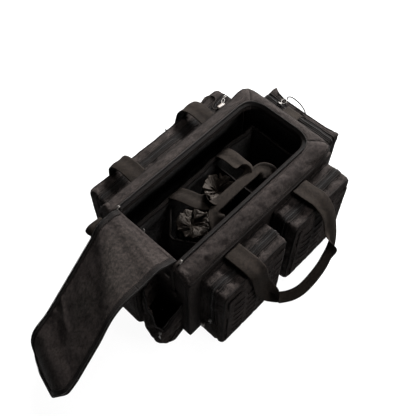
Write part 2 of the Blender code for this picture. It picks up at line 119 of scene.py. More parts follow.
def even(path, step, *others):
    """The path, and the values that go with it, at even steps along it."""
    along = distances(path)
    at = np.linspace(0, along[-1], max(2, round(along[-1] / step) + 1))
    return [np.stack([np.interp(at, along, rows[:, k]) for k in range(rows.shape[1])], 1)
            for rows in (path, *others)]


def relax(rows, times):
    """Moves each row between the ends towards its neighbours."""
    for _ in range(times):
        rows[1:-1] = (rows[:-2] + 2 * rows[1:-1] + rows[2:]) / 4


def grid_faces(rows, cols, round_rows=False, round_cols=False):
    """The quads between the points of a grid, which may join up with itself either way."""
    made = []
    for i in range(rows if round_rows else rows - 1):
        for j in range(cols if round_cols else cols - 1):
            k, n = (i + 1) % rows, (j + 1) % cols
            made.append((i * cols + j, i * cols + n, k * cols + n, k * cols + j))
    return made


def tube_faces(rows, cols):
    """The faces of a tube of rings, closed at both ends."""
    first = tuple(range(cols))[::-1]
    last = tuple(range((rows - 1) * cols, rows * cols))
    return [*grid_faces(rows, cols, False, True), first, last]


class Shape:
    """Points, faces and texture coordinates in metres, gathered into one mesh."""

    def __init__(self):
        self.points, self.coords, self.faces, self.looks = [], [], [], []
        self.count = 0

    def add(self, points, faces, coords=None, look=0):
        points = np.asarray(points, float).reshape(-1, 3)
        self.points.append(points)
        coords = points[:, :2] if coords is None else coords
        self.coords.append(np.asarray(coords, float).reshape(-1, 2))
        self.faces += [tuple(i + self.count for i in face) for face in faces]
        self.looks += [look] * len(faces)
        self.count += len(points)
        return self

    def add_grid(self, grid, look=0, coords=None):
        return self.add(grid, grid_faces(*grid.shape[:2]), coords, look)

    def make(self, name, *looks):
        """The object, with its faces turned outwards and each look in a material slot."""
        mesh = bpy.data.meshes.new(name)
        mesh.from_pydata(np.concatenate(self.points).tolist(), [], self.faces)
        coords = np.concatenate(self.coords)
        layer = mesh.uv_layers.new(name="metres")
        corners = np.zeros(len(mesh.loops), np.int32)
        mesh.loops.foreach_get("vertex_index", corners)
        layer.data.foreach_set("uv", coords[corners].astype(np.float32).ravel())
        for look in looks:
            mesh.materials.append(look)
        mesh.polygons.foreach_set("material_index", self.looks)
        shape = bmesh.new()
        shape.from_mesh(mesh)
        bmesh.ops.recalc_face_normals(shape, faces=shape.faces)
        shape.to_mesh(mesh)
        shape.free()
        mesh.shade_smooth()
        made = bpy.data.objects.new(name, mesh)
        bpy.context.scene.collection.objects.link(made)
        return made


def frames(path, ups, closed=False):
    """The tangent, side and up directions along a path."""
    if closed:
        tangent = unit(np.roll(path, -1, axis=0) - np.roll(path, 1, axis=0))
    else:
        tangent = unit(np.gradient(path, axis=0))
    side = unit(np.cross(tangent, np.broadcast_to(ups, path.shape)))
    return tangent, side, np.cross(side, tangent)


def sweep(shape, path, ups, section, look=0, closed=False):
    """Carries a closed section of (across, up) along a path. The section may differ from place to place."""
    section = np.broadcast_to(section, (len(path), *np.shape(section)[-2:]))
    _, side, up = frames(path, ups, closed)
    points = path[:, None] + side[:, None] * section[..., :1] + up[:, None] * section[..., 1:]
    rows, cols = points.shape[:2]
    faces = grid_faces(rows, cols, True, True) if closed else tube_faces(rows, cols)
    along = np.broadcast_to(distances(path)[:, None], (rows, cols))
    return shape.add(points, faces, np.stack([along, section[..., 0]], -1), look)


def tube(shape, path, ups, radius, look=0, sides=8, closed=False):
    return sweep(shape, path, ups, round_section(radius, sides), look, closed)


def round_section(radius, sides=8, flat=1.0):
    """A circle, or an ellipse whose height is its width times flat."""
    turn = np.arange(sides) * 2 * math.pi / sides
    return np.stack([radius * np.cos(turn), radius * flat * np.sin(turn)], 1)


def tape_section(half_width, thickness, crown=0.0):
    """A flat tape with thin edges, raised in the middle by crown."""
    across = np.array((-1.0, -0.94, -0.5, 0.0, 0.5, 0.94, 1.0))
    top = thickness * np.array((0.35, 1, 1, 1, 1, 1, 0.35)) + crown * (1 - across**2)
    return np.stack([np.r_[across, across[::-1]] * half_width, np.r_[top, top[::-1] * 0 - 0.0002]], 1)


def blocks(shape, centres, tangent, side, up, size, look=0):
    """Small blocks with a narrower top, one at each centre: zipper teeth or stitches."""
    length, width, height = (s / 2 for s in size)
    block = np.array([(-1, -1, -1), (1, -1, -1), (1, 1, -1), (-1, 1, -1),
                      (-0.6, -0.75, 1), (0.6, -0.75, 1), (0.6, 0.75, 1), (-0.6, 0.75, 1)])
    quads = np.array([(3, 2, 1, 0), (4, 5, 6, 7), (0, 1, 5, 4), (1, 2, 6, 5), (2, 3, 7, 6), (3, 0, 4, 7)])
    block = block * (length, width, height)
    points = (centres[:, None] + tangent[:, None] * block[:, :1] + side[:, None] * block[:, 1:2]
              + up[:, None] * block[:, 2:])
    faces = (quads[None] + 8 * np.arange(len(centres))[:, None, None]).reshape(-1, 4)
    return shape.add(points, [tuple(f) for f in faces.tolist()], None, look)


def stitches(shape, path, ups, look, across=0.0, lift=0.0003, pitch=0.0042):
    """A row of stitches beside a path."""
    path, ups = even(path, pitch, np.broadcast_to(ups, path.shape))
    tangent, side, up = frames(path, ups)
    places = path + side * across + up * lift
    return blocks(shape, places, tangent, side, up, (pitch * 0.72, 0.0010, 0.0009), look)


def box_grid(low, high, step):
    """Points and quads of a box's surface, with about one step between its lines."""
    lines = [np.linspace(a, b, max(3, round((b - a) / step) + 1)) for a, b in zip(low, high)]
    index, faces = {}, []

    def at(key):
        return index.setdefault(key, len(index))

    for axis in range(3):
        u, v = (axis + 1) % 3, (axis + 2) % 3
        for end in (0, len(lines[axis]) - 1):
            for i in range(len(lines[u]) - 1):
                for j in range(len(lines[v]) - 1):
                    quad = []
                    for di, dj in ((0, 0), (1, 0), (1, 1), (0, 1)):
                        key = [0, 0, 0]
                        key[axis], key[u], key[v] = end, i + di, j + dj
                        quad.append(at(tuple(key)))
                    faces.append(tuple(quad if end else quad[::-1]))
    points = np.array([[lines[k][key[k]] for k in range(3)] for key in index])
    return points, faces


def round_off(points, low, high, radius):
    """Rounds the edges of a box grid."""
    radius = np.broadcast_to(radius, 3).astype(float)
    inner = np.clip(points, np.asarray(low) + radius, np.asarray(high) - radius)
    away = (points - inner) / radius
    size = np.linalg.norm(away, axis=1, keepdims=True)
    biggest = np.abs(away).max(axis=1, keepdims=True)
    return inner + np.where(size > 1e-9, away / np.maximum(size, 1e-9) * biggest, 0.0) * radius


def crumple(points, faces, held, slack, most, bend=0.4):
    """Lets a cloth simulation pucker a panel whose fabric is larger than its frame by slack. No point moves
    further than most."""
    mesh = bpy.data.meshes.new("cloth")
    mesh.from_pydata(points.tolist(), [], faces)
    cloth = bpy.data.objects.new("cloth", mesh)
    bpy.context.scene.collection.objects.link(cloth)
    group = cloth.vertex_groups.new(name="held")
    group.add(np.flatnonzero(held).tolist(), 1.0, "REPLACE")
    modifier = cloth.modifiers.new("cloth", "CLOTH")
    settings = modifier.settings
    settings.quality = 6
    settings.mass = 0.25
    settings.bending_stiffness = bend
    settings.vertex_group_mass = "held"
    settings.shrink_min = -slack
    settings.effector_weights.gravity = 0
    settings.air_damping = 4.0
    modifier.point_cache.frame_end = CLOTH_STEPS
    for step in range(1, CLOTH_STEPS + 1):
        bpy.context.scene.frame_set(step)
    evaluated = cloth.evaluated_get(bpy.context.evaluated_depsgraph_get())
    moved = np.zeros(len(points) * 3, np.float32)
    evaluated.data.vertices.foreach_get("co", moved)
    bpy.context.scene.frame_set(1)
    bpy.data.objects.remove(cloth, do_unlink=True)
    shift = moved.reshape(-1, 3).astype(float) - points
    length = np.linalg.norm(shift, axis=1, keepdims=True)
    return points + shift * np.minimum(1.0, most / np.maximum(length, 1e-9))


class Skin:
    """A finished surface that trim is laid on."""

    def __init__(self, points, faces):
        self.middle = points.mean(axis=0)
        self.tree = BVHTree.FromPolygons([Vector(p) for p in points], faces)

    def lay(self, path, lift=0.0):
        """The path on the surface, raised by lift, and the surface's way out along it."""
        places, ups = [], []
        for p in path:
            place, normal, _, _ = self.tree.find_nearest(Vector(p))
            normal = np.array(normal)
            places.append(place)
            ups.append(normal if normal @ (np.array(p) - self.middle) > 0 else -normal)
        places, ups = np.array(places), unit(np.array(ups))
        relax(places, 5)
        relax(ups, 5)
        ups = unit(ups)
        return places + ups * lift, ups


# ---------------------------------------------------------------- materials

class Look:
    """A material, with short ways to make and join its nodes."""

    def __init__(self, name):
        self.material = bpy.data.materials.new(name)
        self.material.use_nodes = True
        self.tree = self.material.node_tree
        self.shader = self.tree.nodes["Principled BSDF"]

    def set(self, socket, value):
        """A value that is the same all over goes on the socket, and any other is joined to it."""
        if isinstance(value, bpy.types.NodeSocket):
            self.tree.links.new(value, socket)
        else:
            socket.default_value = (*value, 1) if isinstance(value, tuple) else value

    def shade(self, **inputs):
        for name, value in inputs.items():
            self.set(self.shader.inputs[name.replace("_", " ")], value)

    def object_place(self):
        return self.tree.nodes.new("ShaderNodeTexCoord").outputs["Object"]

    def noise(self, place, scale, detail=3.0, roughness=0.6):
        made = self.tree.nodes.new("ShaderNodeTexNoise")
        for name, value in (("Scale", scale), ("Detail", detail), ("Roughness", roughness), ("Vector", place)):
            self.set(made.inputs[name], value)
        return made.outputs["Fac"]

    def ramp(self, value, *stops):
        made = self.tree.nodes.new("ShaderNodeValToRGB")
        for element, (position, color) in zip(made.color_ramp.elements, stops):
            element.position, element.color = position, (*color, 1)
        self.set(made.inputs["Fac"], value)
        return made.outputs["Color"]

    def math(self, what, a, b=0.5):
        made = self.tree.nodes.new("ShaderNodeMath")
        made.operation = what
        self.set(made.inputs[0], a)
        self.set(made.inputs[1], b)
        return made.outputs[0]

    def add(self, a, b):
        return self.math("ADD", a, b)

    def times(self, a, b):
        return self.math("MULTIPLY", a, b)

    def wave(self, value, period):
        return self.math("SINE", self.times(value, 2 * math.pi / period))

    def multiply_colors(self, a, b):
        """The sockets go by number, as the float, vector and colour ones share their names."""
        made = self.tree.nodes.new("ShaderNodeMix")
        made.data_type = "RGBA"
        made.blend_type = "MULTIPLY"
        for number, value in ((0, 1.0), (6, a), (7, b)):
            self.set(made.inputs[number], value)
        return made.outputs[2]

    def bump(self, height, strength, distance):
        made = self.tree.nodes.new("ShaderNodeBump")
        for name, value in (("Strength", strength), ("Distance", distance), ("Height", height)):
            self.set(made.inputs[name], value)
        self.shade(Normal=made.outputs["Normal"])


def fabric(name, dark, light, period, depth, rough=0.85, specular=0.02, ribs=None, blotch=0.25, tint=None):
    """Woven cloth: heathered threads, a weave that stands up, and slow changes of tone.

    The weave follows the object's axes. With ribs, it follows the strip's own length and width instead.
    """
    look = Look(name)
    place = look.object_place()
    parts = look.tree.nodes.new("ShaderNodeSeparateXYZ")
    if ribs:
        strip = look.tree.nodes.new("ShaderNodeUVMap")
        strip.uv_map = "metres"
        look.set(parts.inputs[0], strip.outputs["UV"])
        along = look.times(look.wave(parts.outputs["X"], period), 0.45)
        height = look.add(look.wave(parts.outputs["Y"], ribs), along)
    else:
        look.set(parts.inputs[0], place)
        height = look.wave(parts.outputs["X"], period)
        for axis in ("Y", "Z"):
            height = look.add(height, look.wave(parts.outputs[axis], period))
    threads = look.noise(place, 520, 4, 0.75)
    slubs = look.noise(place, 170)
    speckle = look.add(look.times(threads, 0.6), look.times(slubs, 0.4))
    heather = look.ramp(speckle, (0.41, dark), (0.61, light))
    patches = look.ramp(look.noise(place, 11, 4), (0.30, (1 - blotch,) * 3), (0.72, (1 + blotch,) * 3))
    look.shade(Base_Color=look.multiply_colors(heather, patches), Specular_IOR_Level=specular,
               Roughness=look.add(look.times(speckle, 0.2), rough - 0.1))
    if tint:
        look.shade(Specular_Tint=tint)
    look.bump(look.add(height, look.times(threads, 1.5)), 0.55, depth)
    return look.material


def solid_look(name, color, rough, metallic=0.0, speckle=0.15, scale=300, specular=0.5):
    """Metal or plastic, with fine marks in its colour, gloss and surface."""
    look = Look(name)
    place = look.object_place()
    marks = look.noise(place, scale, 5, 0.65)
    smears = look.noise(place, scale * 0.12, 3, 0.5)
    low = tuple(c * (1 - speckle) for c in color)
    high = tuple(c * (1 + speckle) for c in color)
    look.shade(Base_Color=look.ramp(smears, (0.35, low), (0.65, high)), Metallic=metallic,
               Specular_IOR_Level=specular, Roughness=look.add(look.times(marks, 0.25), rough - 0.12))
    look.bump(marks, 0.4, 0.0001)
    return look.material


NYLON = fabric("nylon_cloth", (0.0017, 0.0013, 0.0012), (0.0110, 0.0089, 0.0081), 0.0011, 0.0003, blotch=0.24)
WEBBING = fabric("webbing_weave", (0.0014, 0.0010, 0.0008), (0.0056, 0.0043, 0.0034), 0.0013, 0.0004,
                 ribs=0.0021)
# This tape also makes the dark sheet behind the slotted panels, which is painted shade in their slots.
TAPE_AND_SLOT_SHADE = fabric("zipper_tape_and_slot_shade", (0.0008, 0.0007, 0.0007), (0.0034, 0.0029, 0.0027), 0.0010, 0.0002, ribs=0.0012)
COIL = solid_look("zipper_coil", (0.0030, 0.0026, 0.0024), 0.55, specular=0.05)
THREAD = solid_look("sewing_thread", (0.0034, 0.0028, 0.0026), 0.75, specular=0.01)
# The lining's colour is partly its own grey and partly painted fill light: it is several times lighter than the
# nylon, so that the shaded inside of the bag reads lit.
PAINTED_FILL_LINING = fabric("lining_cloth_with_painted_fill", (0.0100, 0.0094, 0.0093), (0.0400, 0.0375, 0.0370), 0.0012, 0.0002)
BINDING = fabric("binding_tape", (0.0010, 0.0008, 0.0007), (0.0042, 0.0035, 0.0032), 0.0010, 0.0002,
                 ribs=0.0014)
SATIN = fabric("satin_cloth", (0.0017, 0.0013, 0.0010), (0.0040, 0.0031, 0.0026), 0.0007, 0.00008, 0.42, 0.03,
               tint=(1.0, 0.84, 0.70))
CORD = fabric("braided_cord", (0.0016, 0.0012, 0.0010), (0.0068, 0.0054, 0.0046), 0.0018, 0.0004, 0.75,
              ribs=0.0016)
METAL = solid_look("plated_metal", (0.0315, 0.0294, 0.0277), 0.38, 1.0, 0.12, 500)
LOCK = solid_look("lock_plastic", (0.0420, 0.0350, 0.0300), 0.5, 0.0, 0.08, 200, 0.2)
BOARD = solid_look("board_plastic", (0.005, 0.005, 0.0055), 0.5, specular=0.2)
LABEL = fabric("label_cloth", (0.0240, 0.0208, 0.0184), (0.0480, 0.0424, 0.0384), 0.0009, 0.0002)


# ---------------------------------------------------------------- trim

POCKET_LOOKS = (NYLON, BINDING, TAPE_AND_SLOT_SHADE, COIL, THREAD)


def place(shape, name, looks, body, slot, *nodes, fill=None):
    """Makes the piece. fill, how tight it is stuffed where it is padded, is not used."""
    made = shape.make(name, *looks)
    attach(made, body)
    if nodes:
        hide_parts(*nodes)
    return made


def place_across(shape, name, looks, bodies, start, end, fill, *nodes):
    """Makes a padded nylon piece that crosses a joint. start and end, where it would bend, are not used."""
    made = shape.make(name, *looks)
    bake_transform(made)
    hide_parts(*nodes)


def zipper(shape, path, ups, looks=(2, 3, 4), half=0):
    """A zipper tape with its teeth and stitches. half is the side that is open, or 0 where it is zipped."""
    path, ups = even(path, 0.003, ups)
    half_width = 0.0055 if half else 0.0068
    sweep(shape, path, ups, tape_section(half_width, 0.0007, 0.0004), looks[0])
    teeth, normals = even(path, 0.0018, ups)
    tangent, side, up = frames(teeth, normals)
    size = (0.0012, 0.0030 if half else 0.0040, 0.0016)
    blocks(shape, teeth + side * (half * 0.0052) + up * 0.0013, tangent, side, up, size, looks[1])
    for across in ((-half * 0.0035,) if half else (-0.0050, 0.0050)):
        stitches(shape, path, ups, looks[2], across, 0.0011)


def block(shape, centre, turn, size, radius, step=0.0012, taper=0.0):
    """A rounded block whose length runs along the first column of turn, narrower at that end with taper."""
    half = np.array(size) / 2
    points, faces = box_grid(-half, half, step)
    points = round_off(points, -half, half, np.minimum(radius, half * 0.98))
    points[:, 1] *= 1 - taper * (points[:, 0] / half[0] + 1) / 2
    return shape.add(points @ np.array(turn).T + centre, faces)


def slider(shape, centre, along, up):
    """A zipper slider: two wings, the post between them and the bridge that holds its pull."""
    along, up = unit(along), unit(up)
    side = np.cross(up, along)
    turn = np.stack([along, side, up], 1)
    for height in (-0.0013, 0.0007):
        block(shape, centre + up * height, turn, (0.0100, 0.0068, 0.0010), 0.0005, taper=0.35)
    block(shape, centre - along * 0.0038, turn, (0.0022, 0.0022, 0.0026), 0.0005)
    arch = ((-0.0040, 0.0010), (-0.0036, 0.0022), (0.0, 0.0026), (0.0034, 0.0022), (0.0040, 0.0010))
    tube(shape, spline([centre + along * x + up * z for x, z in arch], 0.0008), side, 0.0008)


def loop(shape, centre, u, v, long, wide, radius, look=0):
    """A wire loop in the plane of u and v."""
    u, v = unit(u), unit(v)
    turn = np.arange(28) * 2 * math.pi / 28
    path = centre + np.outer(np.cos(turn) * long, u) + np.outer(np.sin(turn) * wide, v)
    tube(shape, path, np.cross(u, v), radius, look, closed=True)


def pull_tab(shape, start, down, face):
    """A flat metal pull with a hole at its end, hanging from start."""
    length, rows = 0.022, 12
    path = start + np.outer(np.linspace(0, length, rows), down)
    width = np.interp(np.linspace(0, 1, rows), (0, 0.2, 0.8, 1), (0.0014, 0.0019, 0.0026, 0.0020))
    section = np.stack([tape_section(1, 0.0010)] * rows)
    section[..., 0] *= width[:, None]
    sweep(shape, path, face, section)
    loop(shape, start + down * (length + 0.0012), down, np.cross(face, down), 0.0030, 0.0026, 0.0009)


# ---------------------------------------------------------------- camera, light and floor

AZIMUTH = math.radians(-47.91)
ELEVATION = math.radians(58.34)
CAMERA_PLACE = Vector((-0.5933, -0.5046, 1.4069))
CAMERA_ROLL = math.radians(1.39)
FIELD_OF_VIEW = math.radians(35.42)
FLOOR_GLOW, WORLD_GLOW = 0.95, 0.06


def make_camera():
    data = bpy.data.cameras.new("camera")
    data.lens = data.sensor_width / 2 / math.tan(FIELD_OF_VIEW / 2)
    camera = bpy.data.objects.new("camera", data)
    camera.location = CAMERA_PLACE
    camera.rotation_mode = "QUATERNION"
    level = math.cos(ELEVATION)
    ahead = -Vector((math.sin(AZIMUTH) * level, -math.cos(AZIMUTH) * level, math.sin(ELEVATION)))
    camera.rotation_quaternion = ahead.to_track_quat("-Z", "Y") @ Quaternion((0, 0, 1), CAMERA_ROLL)
    bpy.context.scene.collection.objects.link(camera)
    bpy.context.scene.camera = camera


def make_light(name, place, size, power):
    """A round lamp that points at the middle of the bag."""
    data = bpy.data.lights.new(name, "AREA")
    data.shape = "DISK"
    data.size = size
    data.energy = power
    light = bpy.data.objects.new(name, data)
    light.location = place
    light.rotation_mode = "QUATERNION"
    light.rotation_quaternion = (Vector((0, 0, 0.15)) - Vector(place)).to_track_quat("-Z", "Y")
    bpy.context.scene.collection.objects.link(light)


def make_stage():
    """A white light table that rises to a low wall far away, and the lights.

    The table glows by itself, so that the bag's shadow on it stays as faint as in the photograph.
    """
    sides = 64
    turns = np.arange(sides) * 2 * math.pi / sides
    rings = [(22, -0.0006), (26, 0.6), (28, 2.2), (29, 5.0), (29, 8.5)]
    rings = np.array([[(r * math.cos(a), r * math.sin(a), z) for a in turns] for r, z in rings])
    shape = Shape().add(rings, [tuple(range(sides)), *grid_faces(len(rings), sides, False, True)])
    look = Look("light_table")
    grain = look.ramp(look.noise(look.object_place(), 3, 2), (0.3, (0.045,) * 3), (0.7, (0.055,) * 3))
    look.shade(Base_Color=grain, Roughness=0.9, Specular_IOR_Level=0.1, Emission_Color=(1.0, 1.0, 1.0),
               Emission_Strength=FLOOR_GLOW)
    shape.make("floor", look.material)
    world = bpy.data.worlds.new("studio")
    world.use_nodes = True
    background = world.node_tree.nodes["Background"].inputs
    background["Color"].default_value = (1, 1, 1, 1)
    background["Strength"].default_value = WORLD_GLOW
    bpy.context.scene.world = world
    bpy.context.scene.view_settings.view_transform = "Standard"
    make_light("key_light", (2.50, 0.80, 1.85), 0.8, 1470)
    make_light("top_light", (0.70, -0.20, 2.80), 1.0, 120)
    make_light("front_light", (0.60, -2.20, 1.50), 1.2, 90)


# ---------------------------------------------------------------- cords

FAR_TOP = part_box("far_end_pocket")[1].z
BACK_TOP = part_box("back_pocket")[1].z
POUCH_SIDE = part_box("front_pouch_near")[0].x - 0.0055
CORD_WIDTH = 0.003


def cord_tube(name, route, length, body, node, far_end, **facts):
    """A braided cord along a smooth curve through its route."""
    path = spline(route, 0.0015)
    steady_up = (0.13, 0.21, 0.97)
    shape = tube(Shape(), path, steady_up, CORD_WIDTH / 2, sides=10)
    made = place(shape, name, (CORD,), body, "cord", node)


def make_cords():
    """The cords of the far end pocket, the back pocket and the near front pouch, with what hangs on them."""
    cord_tube("far_end_pull_cord", [
        (0.2893, 0.0500, FAR_TOP + 0.0045), (0.2960, 0.0525, FAR_TOP + 0.0060),
        (0.3005, 0.0450, FAR_TOP + 0.0075), (0.3000, 0.0300, FAR_TOP + 0.0080),
        (0.2970, 0.0150, FAR_TOP + 0.0080), (0.2915, 0.0000, FAR_TOP + 0.0060),
        (0.2845, -0.0100, FAR_TOP + 0.0040), (0.2760, -0.0165, FAR_TOP + 0.0030),
    ], 0.0863, "far_end_pull", "far_end_cord", "bare", lay="loose")
    toggle = Shape()
    across = spline([(0.1605, 0.1930, BACK_TOP + 0.0060), (0.1490, 0.1888, BACK_TOP + 0.0064),
                     (0.1380, 0.1850, BACK_TOP + 0.0060)], 0.001)
    grow = 0.0026 + 0.0006 * np.cos(np.linspace(-math.pi, math.pi, len(across)))
    sweep(toggle, across, UP, round_section(1.0, 10) * grow[:, None, None])
    toggle = place(toggle, "back_pull_toggle", (CORD,), "back_slider", "cord", "back_cord_end")
    lock = cord_lock((0.1660, 0.1480, BACK_TOP + 0.0060), (-1, 0.08, 0), UP)
    lock = place(lock, "back_lock", (LOCK, METAL), "back_slider", "cord_lock", "back_cord_lock")
    cord_tube("back_pull_cord", [
        (0.1540, 0.1490, BACK_TOP + 0.0060), (0.1475, 0.1530, BACK_TOP + 0.0060),
        (0.1480, 0.1590, BACK_TOP + 0.0075), (0.1570, 0.1640, BACK_TOP + 0.0085),
        (0.1700, 0.1690, BACK_TOP + 0.0070), (0.1770, 0.1790, BACK_TOP + 0.0045),
        (0.1730, 0.1885, BACK_TOP + 0.0050), (0.1620, 0.1925, BACK_TOP + 0.0060),
    ], 0.0740, "back_slider", "back_cord", "fitting", lay="loose", with_pieces=[toggle, lock])
    lock = cord_lock((POUCH_SIDE, -0.1410, 0.0470), UP, (1, 0, 0))
    lock = place(lock, "pouch_lock", (LOCK, METAL), "pouch_slider_near", "cord_lock", "pouch_cord_lock")
    cord_tube("pouch_pull_cord", [
        (POUCH_SIDE, -0.1610, 0.0950), (POUCH_SIDE, -0.1600, 0.0880),
        (POUCH_SIDE - 0.0005, -0.1540, 0.0790), (POUCH_SIDE - 0.0005, -0.1460, 0.0720),
        (POUCH_SIDE, -0.1420, 0.0640), (POUCH_SIDE, -0.1410, 0.0575),
    ], 0.0442, "pouch_slider_near", "pouch_cord", "fitting", lay="hanging", with_pieces=[lock])


def cord_lock(centre, along, up):
    """A barrel lock: a rounded body, its push button and the ring between them."""
    along = unit(along)
    turn = np.stack([along, np.cross(up, along), up], 1)
    shape = Shape()
    block(shape, centre + along * 0.0015, turn, (0.0180, 0.0100, 0.0076), 0.0030, taper=0.12)
    block(shape, centre - along * 0.0088, turn, (0.0040, 0.0064, 0.0052), 0.0018)
    loop(shape, centre - along * 0.0066, turn[:, 1], turn[:, 2], 0.0040, 0.0031, 0.0005, 1)
    return shape


# ---------------------------------------------------------------- the bag's body

HALF_LENGTH, HALF_WIDTH, MOUTH = 0.225, 0.128, 0.081
MOUTH_FAR, CORNER = 0.194, 0.037
RIM, SEAM, FAR_SEAM = 0.288, 0.269, 0.284
RIM_STEP = 0.0045
TOP_POINTS = 17
PANEL_STEP = 0.007


def mouth_route():
    """The mouth's edge, in order from the near end along the front, round the far end and back.

    Each row is x, y, the outward direction, the padded rim's width there and the height of its outer edge.
    """
    rows = []
    front = [(x, -MOUTH, -math.pi / 2) for x in np.arange(-0.2245, MOUTH_FAR - CORNER, RIM_STEP)]
    turns = np.linspace(-math.pi / 2, 0, 14)
    bend = [(MOUTH_FAR - CORNER + CORNER * math.cos(a), CORNER - MOUTH + CORNER * math.sin(a), a)
            for a in turns]
    far = [(MOUTH_FAR, y, 0.0) for y in np.arange(CORNER - MOUTH + RIM_STEP, 0, RIM_STEP)]
    half = front + bend + far
    whole = half + [(MOUTH_FAR, 0.0, 0.0)] + [(x, -y, -a) for x, y, a in reversed(half)]
    for x, y, a in whole:
        out = np.array((math.cos(a), math.sin(a)))
        long_way = HALF_LENGTH - MOUTH_FAR + CORNER
        wide_way = HALF_WIDTH - MOUTH + CORNER
        reach = ((abs(out[0]) / long_way) ** 7 + (abs(out[1]) / wide_way) ** 7) ** (-1 / 7) - CORNER
        share = ease(abs(math.cos(a)) * 1.3)
        rows.append((x, y, *out, reach, SEAM + (FAR_SEAM - SEAM) * share))
    return np.array(rows)


def rim_sections(rows):
    """The padded rim's closed section at every row of the route: its top, then outside, under, inside."""
    v = np.linspace(0, 1, TOP_POINTS)
    fall = v**1.7
    puff = np.sin(math.pi * v) ** 0.7
    drop = (RIM - rows[:, 5])[:, None]
    top = RIM - 0.0035 - drop * fall + 0.0074 * puff - 0.0030 * (np.abs(v - 0.5) * 2) ** 6
    across = np.concatenate([v, (1.005, 1.0, 0.9, 0.6, 0.3, 0.02, -0.01)])
    edge = top[:, -1:]
    low = np.concatenate([edge - 0.004, edge - 0.010, edge - 0.011, RIM - 0.020 - drop * 0.4,
                          RIM - 0.016 - drop * 0.1, top[:, :1] - 0.009, top[:, :1] - 0.004], 1)
    height = np.concatenate([top, low], 1)
    reach = rows[:, 4:5] * across
    return np.stack([rows[:, :1] + rows[:, 2:3] * reach, rows[:, 1:2] + rows[:, 3:4] * reach, height], -1)


def top_of(points, rows, share):
    """The line along the rim's top at a share of its width."""
    at = share * (TOP_POINTS - 1)
    low = int(at)
    high = min(low + 1, TOP_POINTS - 1)
    line = points[:, low] * (1 - at + low) + points[:, high] * (at - low)
    side = unit(np.c_[rows[:, 2:4], np.zeros(len(rows))])
    slope = unit(points[:, high] - points[:, low]) if high > low else side
    tangent = unit(np.gradient(line, axis=0))
    up = unit(np.cross(slope, tangent))
    return line, np.where(up[:, 2:] < 0, -up, up)


def corner_flap(shape, edge):
    """The rim's near end, folded down over the near wall in a triangle with a bound edge."""
    share = np.linspace(0, 1, len(edge))[:, None]
    drop = 0.004 + 0.024 * share**1.3
    rows = []
    for t in np.linspace(0, 1, 7):
        row = edge.copy()
        row[:, 0] -= 0.0035 * math.sin(math.pi * min(1.0, t * 1.3)) + 0.0006
        row[:, 1] *= 1 - 0.03 * t * share[:, 0]
        row[:, 2] -= drop[:, 0] * t + 0.0006 * np.sin(share[:, 0] * 12) * t
        rows.append(row)
    rows = np.array(rows)
    shape.add_grid(rows).add_grid(rows + (0.0018, 0, 0))
    tube(shape, rows[-1], (-1.0, 0, 0), 0.0017, 2)


def make_rim():
    """The padded rim in its three pieces, with its seams, its piping and the main zipper along its inside."""
    rows = mouth_route()
    points = rim_sections(rows)
    count, around = points.shape[:2]
    flat = points.reshape(-1, 3)
    faces = grid_faces(count, around, False, True)
    held = np.ones((count, around), bool)
    held[2:-2, 5:15] = False
    held[:, (8,)] |= (np.arange(count) % 19 == 0)[:, None]
    flat = flat + np.outer(bumps(flat, (30, 60, 30), 3) * 0.0008, UP) * ~held.reshape(-1, 1)
    flat = crumple(flat, faces, held.ravel(), 0.010, most=0.0020)
    flat = flat + np.outer(bumps(flat, (24, 55, 24), 8) * 0.0009, UP) * ~held.reshape(-1, 1)
    points = flat.reshape(count, around, 3)
    corner = np.flatnonzero(rows[:, 0] > MOUTH_FAR - CORNER * 0.4)
    first, last = corner[0], corner[-1]
    pieces = (("front_shoulder", 0, first), ("far_rim", first, last), ("back_shoulder", last, count - 1))
    for name, a, b in pieces:
        part = points[a:b + 1]
        shape = Shape().add(part, tube_faces(len(part), around))
        for share in (0.30, 0.93):
            line, ups = top_of(part, rows[a:b + 1], share)
            stitches(shape, line, ups, 1, 0, 0.0002, 0.0046)
        line, ups = top_of(part, rows[a:b + 1], 1.0)
        tube(shape, line + ups * 0.0002, ups, 0.0020, 2)
        if name != "far_rim":
            corner_flap(shape, part[0 if a == 0 else -1, :TOP_POINTS])
        place(shape, name + "_cover", (NYLON, THREAD, BINDING), "bag", "nylon", name, fill=0.7)
    line, ups = top_of(points[4:-4], rows[4:-4], 0.11)
    shape = Shape()
    zipper(shape, line + ups * 0.0012, ups, (0, 1, 2), half=1)
    place(shape, "main_zipper", (TAPE_AND_SLOT_SHADE, COIL, THREAD), "bag", "zipper", "main_zipper_track")


def soft_box(node):
    """The points and faces of a panel in the place of a box node, with its corners and its thinnest axis."""
    low, high = corners(node)
    points, faces = box_grid(low, high, PANEL_STEP)
    points = round_off(points, low, high, np.minimum(0.003, (high - low) * 0.49))
    return points, faces, low, high, int(np.argmin(high - low))


def slab(node, look, slot, swell, body="bag"):
    """A soft panel with an uneven surface. An upright one has the lining on its inner face, painted lighter as fill
    light for the shaded inside.
    """
    points, faces, low, high, thin = soft_box(node)
    others = [k for k in range(3) if k != thin]
    inside = np.minimum(points - low, high - points)[:, others].min(axis=1)
    inner = np.abs(points[:, thin]) < min(abs(low[thin]), abs(high[thin])) + 0.0006
    points[:, thin] += swell * bumps(points, 22) * ease(inside / 0.02)
    shape = Shape().add(points, faces)
    if thin < 2:
        # The inner faces take the lining, whose lighter colour is partly painted fill light.
        shape.looks = [int(inner[list(face)].all()) for face in faces]
    return place(shape, node + "_cloth", (look, PAINTED_FILL_LINING), body, slot, node)


